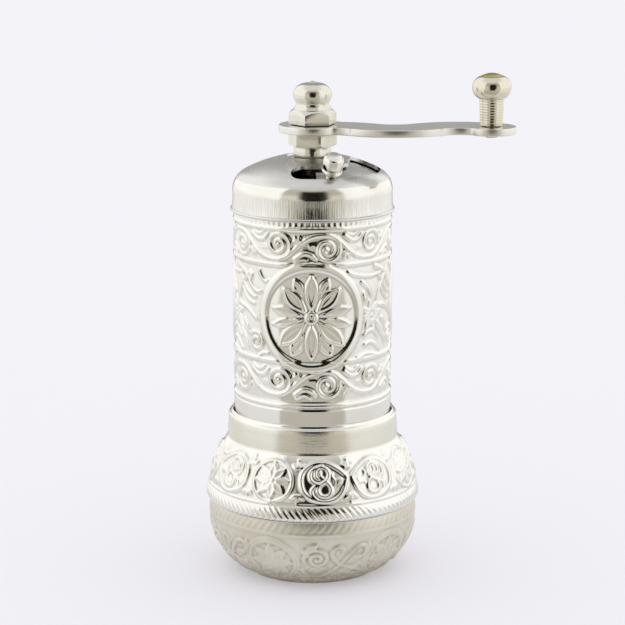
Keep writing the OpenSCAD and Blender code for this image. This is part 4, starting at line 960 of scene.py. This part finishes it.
# nuts: a hexagon on a round collar below the arm, and a cap nut with a necked ball above it
nuts = {
    "acrossFlats": 9.1, "edge": 0.16, "spare": 1.0, "collarZ": 90.094,
    "lowFrom": 3.0, "lowTo": 5.9, "lowTurn": -70.4, "lowBevel": 0.5, "lowSlope": 0.6,
    "capGap": 0.22, "capTo": 3.35, "capTurn": -107.5, "capBevel": 1.2, "capSlope": 0.9,
    "collar": ((2.52, 0), (3.7, 0), (3.9, 0.12), (3.95, 0.35), (3.95, 2.4), (3.88, 2.6), (3.95, 2.8),
               (3.95, 3.2), (2.52, 3.2), (2.52, 0)),
    "neck": 3.85, "neckTop": 0.5, "shadeOut": 0.1, "shadeUp": 0.3,
    "ballFoot": ((0, 2.6), (3.9, 2.6), (4.05, 3.3), (4.0, 3.42), (3.72, 3.75), (3.52, 4.2), (3.46, 4.5),
                 (3.52, 4.72)),
    "ballRise": 3.35, "ballNeck": (3.62, 4.9), "ballSide": 4.06, "ballSag": 0.2,
    "crown": ((4.05, 0.05), (1.36, 2.08)), "crownSag": 0.6,
    "tip": ((0.9, 2.2), (0.74, 2.28), (0.6, 2.42), (0.3, 2.48), (0, 2.5)),
}
arm = {"z": 95.994, "thick": 1.55, "wide": 9.8, "hub": 7.2, "end": 5.3, "reach": 37.75, "sway": 2.2,
       "shift": -0.9, "crest": 4.0, "bends": 3, "edge": 0.28, "flatFrom": 0.9}


# hexagon trimmed by a lathe: its corners are turned off below or above
def hexPiece(name, low, high, turn, bevel, slope, turnedBelow):
    corner = nuts["acrossFlats"] / 2 / math.cos(math.radians(30))
    flat, outer = corner - bevel, corner + nuts["spare"]
    drop = slope * (outer - flat)
    pick()
    bpy.ops.mesh.primitive_cylinder_add(
        vertices=6, radius=corner * mm, depth=(high - low + 2 * nuts["spare"]) * mm,
        location=(0, 0, (low + high) / 2 * mm), rotation=(0, 0, math.radians(turn - 30)))
    piece = bpy.context.object
    piece.name = piece.data.name = name
    bpy.ops.object.transform_apply(location=True, rotation=True, scale=True)
    if turnedBelow:
        side = [(flat, low), (outer, low + drop), (outer, high)]
    else:
        side = [(outer, low), (outer, high - drop), (flat, high)]
    shapeBy(piece, turnPiece(name + "Lathe", [(0, low), *side, (0, high)], smallSteps), "INTERSECT")
    bevelEdges(piece, nuts["edge"], segments=2, degrees=25)
    return piece


collarZ, capZ = nuts["collarZ"], arm["z"] + arm["thick"]
lowHex = hexPiece("collarNutHex", collarZ + nuts["lowFrom"], collarZ + nuts["lowTo"], nuts["lowTurn"],
                  nuts["lowBevel"], nuts["lowSlope"], True)
lowRound = turnPiece("collarNutRound", standOn(collarZ, nuts["collar"]), fineSteps)
collarNut = joinPieces("collarNut", lowHex, lowRound)
dress(collarNut, "crank", "nutNickel", "collar_nut", smoothBelow=28)


# flat arm in three bends between a round hub and a round end
def armOutline():
    wave = (arm["reach"] - arm["crest"]) / (arm["bends"] - 0.5)
    bend = ((wave / 2) ** 2 + arm["sway"] ** 2) / (2 * arm["sway"])
    half = math.degrees(math.asin(wave / 2 / bend))
    tip = np.array([arm["reach"], arm["shift"] - arm["sway"]])

    def edge(side):
        points = []
        for i in range(arm["bends"]):
            way = -1 if i == 1 else 1
            centre = (arm["crest"] + i * wave, arm["shift"] - (2 * arm["sway"] - bend if i == 1 else bend))
            radius = bend + way * side * arm["wide"] / 2
            points += roundPoints(centre, radius, way * (90 + half), way * (90 - half), 25)
        points = np.array(points)
        free = (np.hypot(*points.T) > arm["hub"]) & (np.hypot(*(points - tip).T) > arm["end"])
        return points[free & (points[:, 0] > 0) & (points[:, 0] < tip[0])]

    def turnOf(point):
        return math.degrees(math.atan2(point[1], point[0]))

    upper, lower = edge(1), edge(-1)
    hub = roundPoints((0, 0), arm["hub"], turnOf(upper[0]), turnOf(lower[0]) + 360, 56)
    end = roundPoints(tip, arm["end"], turnOf(lower[-1] - tip), turnOf(upper[-1] - tip), 40)
    return [*hub[1:-1], *lower, *end[1:-1], *upper[::-1]]


crankArm = platePiece("crankArm", armOutline(), arm["z"], arm["thick"])
bevelEdges(crankArm, arm["edge"], segments=3, degrees=50)
dress(crankArm, "crank", "armNickel", "crank_arm", smoothBelow=40)
paintFaces(crankArm, "armFace", lambda reach, rise, up: abs(up) > arm["flatFrom"])

# cap nut, screwed down on the arm
capHex = hexPiece("acornNutHex", capZ + nuts["capGap"], capZ + nuts["capTo"], nuts["capTurn"],
                  nuts["capBevel"], nuts["capSlope"], False)
neck = ((0, 0), (nuts["neck"], 0), (nuts["neck"], nuts["neckTop"]), (0, nuts["neckTop"]))
capNeck = turnPiece("acornNutNeck", standOn(capZ, neck), smallSteps)
ballMid = capZ + nuts["capTo"] + nuts["ballRise"]
ballFoot = standOn(capZ, [*nuts["ballFoot"], nuts["ballNeck"]])
capBall = turnPiece("acornNutBall", [
    *ballFoot[:-1], *arcPoints(ballFoot[-1], (nuts["ballSide"], ballMid), nuts["ballSag"], 10),
    *arcPoints(*standOn(ballMid, nuts["crown"]), nuts["crownSag"], 22)[1:],
    *standOn(ballMid, nuts["tip"])], fineSteps)
acornNut = joinPieces("acornNut", capHex, capBall, capNeck)
dress(acornNut, "crank", "nutNickel", "acorn_nut", smoothBelow=28)
# painted shade: the neck in the gap under the hex takes the dark steel
paintFaces(acornNut, "burrSteelAndShade", lambda reach, rise, up: (
    rise < capZ + nuts["shadeUp"] and reach < nuts["neck"] + nuts["shadeOut"]))

# knob, free on its rivet: heights are over the knob's foot, and at the top over the ball's end
knob = {
    "gap": 0.12, "neck": 5.7, "ball": 4.75, "neckRadius": 2.6, "ballRadius": 4.16, "topRadius": 2.6,
    "bore": 1.56, "foot": ((2.1, 0), (2.38, 0.14), (2.43, 0.4), (2.44, 0.7)),
    "ringRows": 85, "ringFrom": 0.9, "ringTo": 5.4, "ringPitch": 0.5625, "ringDepth": 0.05,
    "ringRadius": 2.44, "ringFlare": 0.028, "recess": ((2.36, 0), (2.26, -0.12), (2.26, -0.42)),
    "rivetFoot": ((0, -0.8), (1.2, -0.78), (1.5, -0.6), (1.78, -0.12), (1.78, 0), (1.5, 0)),
    "rivetTop": ((1.5, -0.3), (2.2, -0.3), (2.24, -0.06)), "dome": ((2.3, 0.05), (0, 0.7)), "domeSag": 0.166,
}
knobZ = capZ + knob["gap"]
knobTop = knobZ + knob["neck"] + knob["ball"]
turned = [(knob["bore"], knobZ), *standOn(knobZ, knob["foot"])]
for z in np.linspace(knob["ringFrom"], knob["ringTo"], knob["ringRows"]):   # fine turned rings
    ring = (1 - math.cos(2 * math.pi * (z - knob["ringFrom"]) / knob["ringPitch"])) / 2
    turned.append((knob["ringRadius"] + knob["ringFlare"] * z - knob["ringDepth"] * ring, knobZ + z))
sag = knob["ballRadius"] - (knob["neckRadius"] + knob["topRadius"]) / 2
turned += arcPoints((knob["neckRadius"], knobZ + knob["neck"]), (knob["topRadius"], knobTop), sag, 30)
turned += standOn(knobTop, knob["recess"])
turned += [(knob["bore"], turned[-1][1]), turned[0]]
crankKnob = turnPiece("crankKnob", turned, fineSteps)
movePiece(crankKnob, *knobAxis)
dress(crankKnob, "knob", "knobNickel", "crank_knob", smoothBelow=35)

knobRivet = turnPiece("knobRivet", [
    *standOn(arm["z"], knob["rivetFoot"]), *standOn(knobTop, knob["rivetTop"]),
    *arcPoints(*standOn(knobTop, knob["dome"]), knob["domeSag"], 12)], smallSteps)
movePiece(knobRivet, *knobAxis)
dress(knobRivet, "crank", "rivetBrass", "knob_rivet", smoothBelow=35)
print("crank made")


# inner pieces keep their solids and take a finish
innerFinish = {
    "bushBrass": ("pivot_eyelet", "guide_bush", "adjuster_screw"),
    "burrSteelAndShade": ("burr_ring", "burr_cone"),
    "shaftSteel": ("shutter_washer", "guide_bar", "burr_bridge", "bridge_screws", "drive_shaft", "cone_pin",
                   "adjuster_nut", "thrust_ball"),
}
for finish, names in innerFinish.items():
    for name in names:
        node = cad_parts[name]
        node.data.materials.clear()
        node.data.materials.append(materials[finish])
print("inner pieces finished")


# studio: pale floor in a white tent, with a dark gap on the camera's side
# edges are in degrees, ranges on the floor in metres
studio = {
    "side": (1.17, 1.17, 1.155, 1), "front": (0.765, 0.73, 0.645, 1), "frontHigh": (0.53, 0.51, 0.46, 1),
    "back": (0.42, 0.41, 0.39, 1), "top": (0.86, 0.86, 0.87, 1), "gap": (0.012, 0.010, 0.008, 1),
    "frontEdge": (44.0, 49.0), "highFrom": (10.0, 28.0), "backEdge": (154.0, 166.0), "topFrom": (44.0, 66.0),
    "gapMiddle": 2.0, "gapEdge": (16.0, 26.0), "gapHigh": (38.0, 46.0), "floorGapEdge": (12.0, 20.5),
    "floor": (0.905, 0.895, 0.945), "floorSize": 8.0, "floorGlow": 0.33, "floorRough": 0.9,
    "fill": (1.0, 1.0, 1.0, 1), "tableEdge": (0.37, 0.42), "dimRange": (0.12, 0.36), "dimGlow": (0.71, 0.885),
    "contact": (0.03, 0.10),
}


def edgeRamp(tree, angle, edge, *out):
    return rampNode(tree, angle, *[math.radians(a) for a in studio[edge]], *out)


# what a mirror sees in each direction of the tent, or at each place of the floor
def tentColour(tree, vector, onFloor):
    x, y, z = addNode(tree, "SeparateXYZ", {0: vector}).outputs
    turn = mathNode(tree, "ARCTAN2", x, mathNode(tree, "MULTIPLY", y, -1.0))
    ahead, across = studio["front"], mathNode(tree, "ABSOLUTE", turn)
    if not onFloor:
        rise = mathNode(tree, "ARCSINE", z)
        ahead = mixColour(tree, edgeRamp(tree, rise, "highFrom"), ahead, studio["frontHigh"])
    colour = mixColour(tree, edgeRamp(tree, across, "frontEdge", 1.0, 0.0), studio["side"], ahead)
    colour = mixColour(tree, edgeRamp(tree, across, "backEdge"), colour, studio["back"])
    aside = mathNode(tree, "ABSOLUTE", mathNode(tree, "SUBTRACT", turn, math.radians(studio["gapMiddle"])))
    gap = edgeRamp(tree, aside, "floorGapEdge" if onFloor else "gapEdge", 1.0, 0.0)
    if onFloor:
        beyond = rampNode(tree, vectorNode(tree, "LENGTH", vector).outputs[1], *studio["tableEdge"])
    else:
        colour = mixColour(tree, edgeRamp(tree, rise, "topFrom"), colour, studio["top"])
        beyond = edgeRamp(tree, rise, "gapHigh", 1.0, 0.0)
    return mixColour(tree, mathNode(tree, "MULTIPLY", gap, beyond), colour, studio["gap"])


world = bpy.data.worlds.new("tentWorld")
bpy.context.scene.world = world
world.use_nodes = True
world.cycles.sampling_method = "NONE"
tree = world.node_tree
background = tree.nodes["Background"]
path = addNode(tree, "LightPath").outputs
tent = tentColour(tree, addNode(tree, "TexCoord").outputs["Generated"], False)
plain = mixColour(tree, path["Is Camera Ray"], studio["fill"], (*studio["floor"], 1))
tree.links.new(mixColour(tree, path["Is Glossy Ray"], plain, tent), background.inputs["Color"])
background.inputs["Strength"].default_value = 1.0

pick()
bpy.ops.mesh.primitive_plane_add(size=studio["floorSize"], location=(0, 0, 0))
floor = bpy.context.object
floor.name = "studioFloor"
floorPaint = bpy.data.materials.new("studioFloorPaint")
floorPaint.use_nodes = True
tree = floorPaint.node_tree
shader = tree.nodes["Principled BSDF"]
shader.inputs["Base Color"].default_value = (*[c * (1 - studio["floorGlow"]) for c in studio["floor"]], 1)
shader.inputs["Emission Color"].default_value = (*studio["floor"], 1)
shader.inputs["Emission Strength"].default_value = studio["floorGlow"]
shader.inputs["Roughness"].default_value = studio["floorRough"]
shader.inputs["Specular IOR Level"].default_value = 0.0
coords = addNode(tree, "TexCoord").outputs["Object"]
farOff = vectorNode(tree, "LENGTH", coords).outputs[1]
# painted shadow: the glow that mirrors see is dimmer near the object, as the shaded floor would be
nearShadow = rampNode(tree, farOff, *studio["dimRange"], *studio["dimGlow"])
glow = addNode(tree, "Emission", {"Color": tentColour(tree, coords, True), "Strength": nearShadow})
path = addNode(tree, "LightPath").outputs                             # only mirrors see the glow
shown = mathNode(tree, "MULTIPLY", path["Is Glossy Ray"], rampNode(tree, farOff, *studio["contact"]))
blend = addNode(tree, "MixShader", {0: shown, 1: shader.outputs[0], 2: glow.outputs[0]})
tree.links.new(blend.outputs[0], tree.nodes["Material Output"].inputs["Surface"])
floor.data.materials.append(floorPaint)

view = {"distance": 510.0, "rise": 12.4, "target": 56.6, "lens": 136.0, "sensor": 36.0, "clip": (0.01, 50.0)}
rise = math.radians(view["rise"])
bpy.ops.object.camera_add(location=(0, -view["distance"] * math.cos(rise) * mm,
                                    (view["target"] + view["distance"] * math.sin(rise)) * mm),
                          rotation=(math.pi / 2 - rise, 0, 0))
camera = bpy.context.object
camera.data.lens = view["lens"]
camera.data.sensor_width = view["sensor"]
camera.data.clip_start, camera.data.clip_end = view["clip"]
bpy.context.scene.camera = camera
bpy.context.scene.view_settings.view_transform = "Standard"
print("studio set")
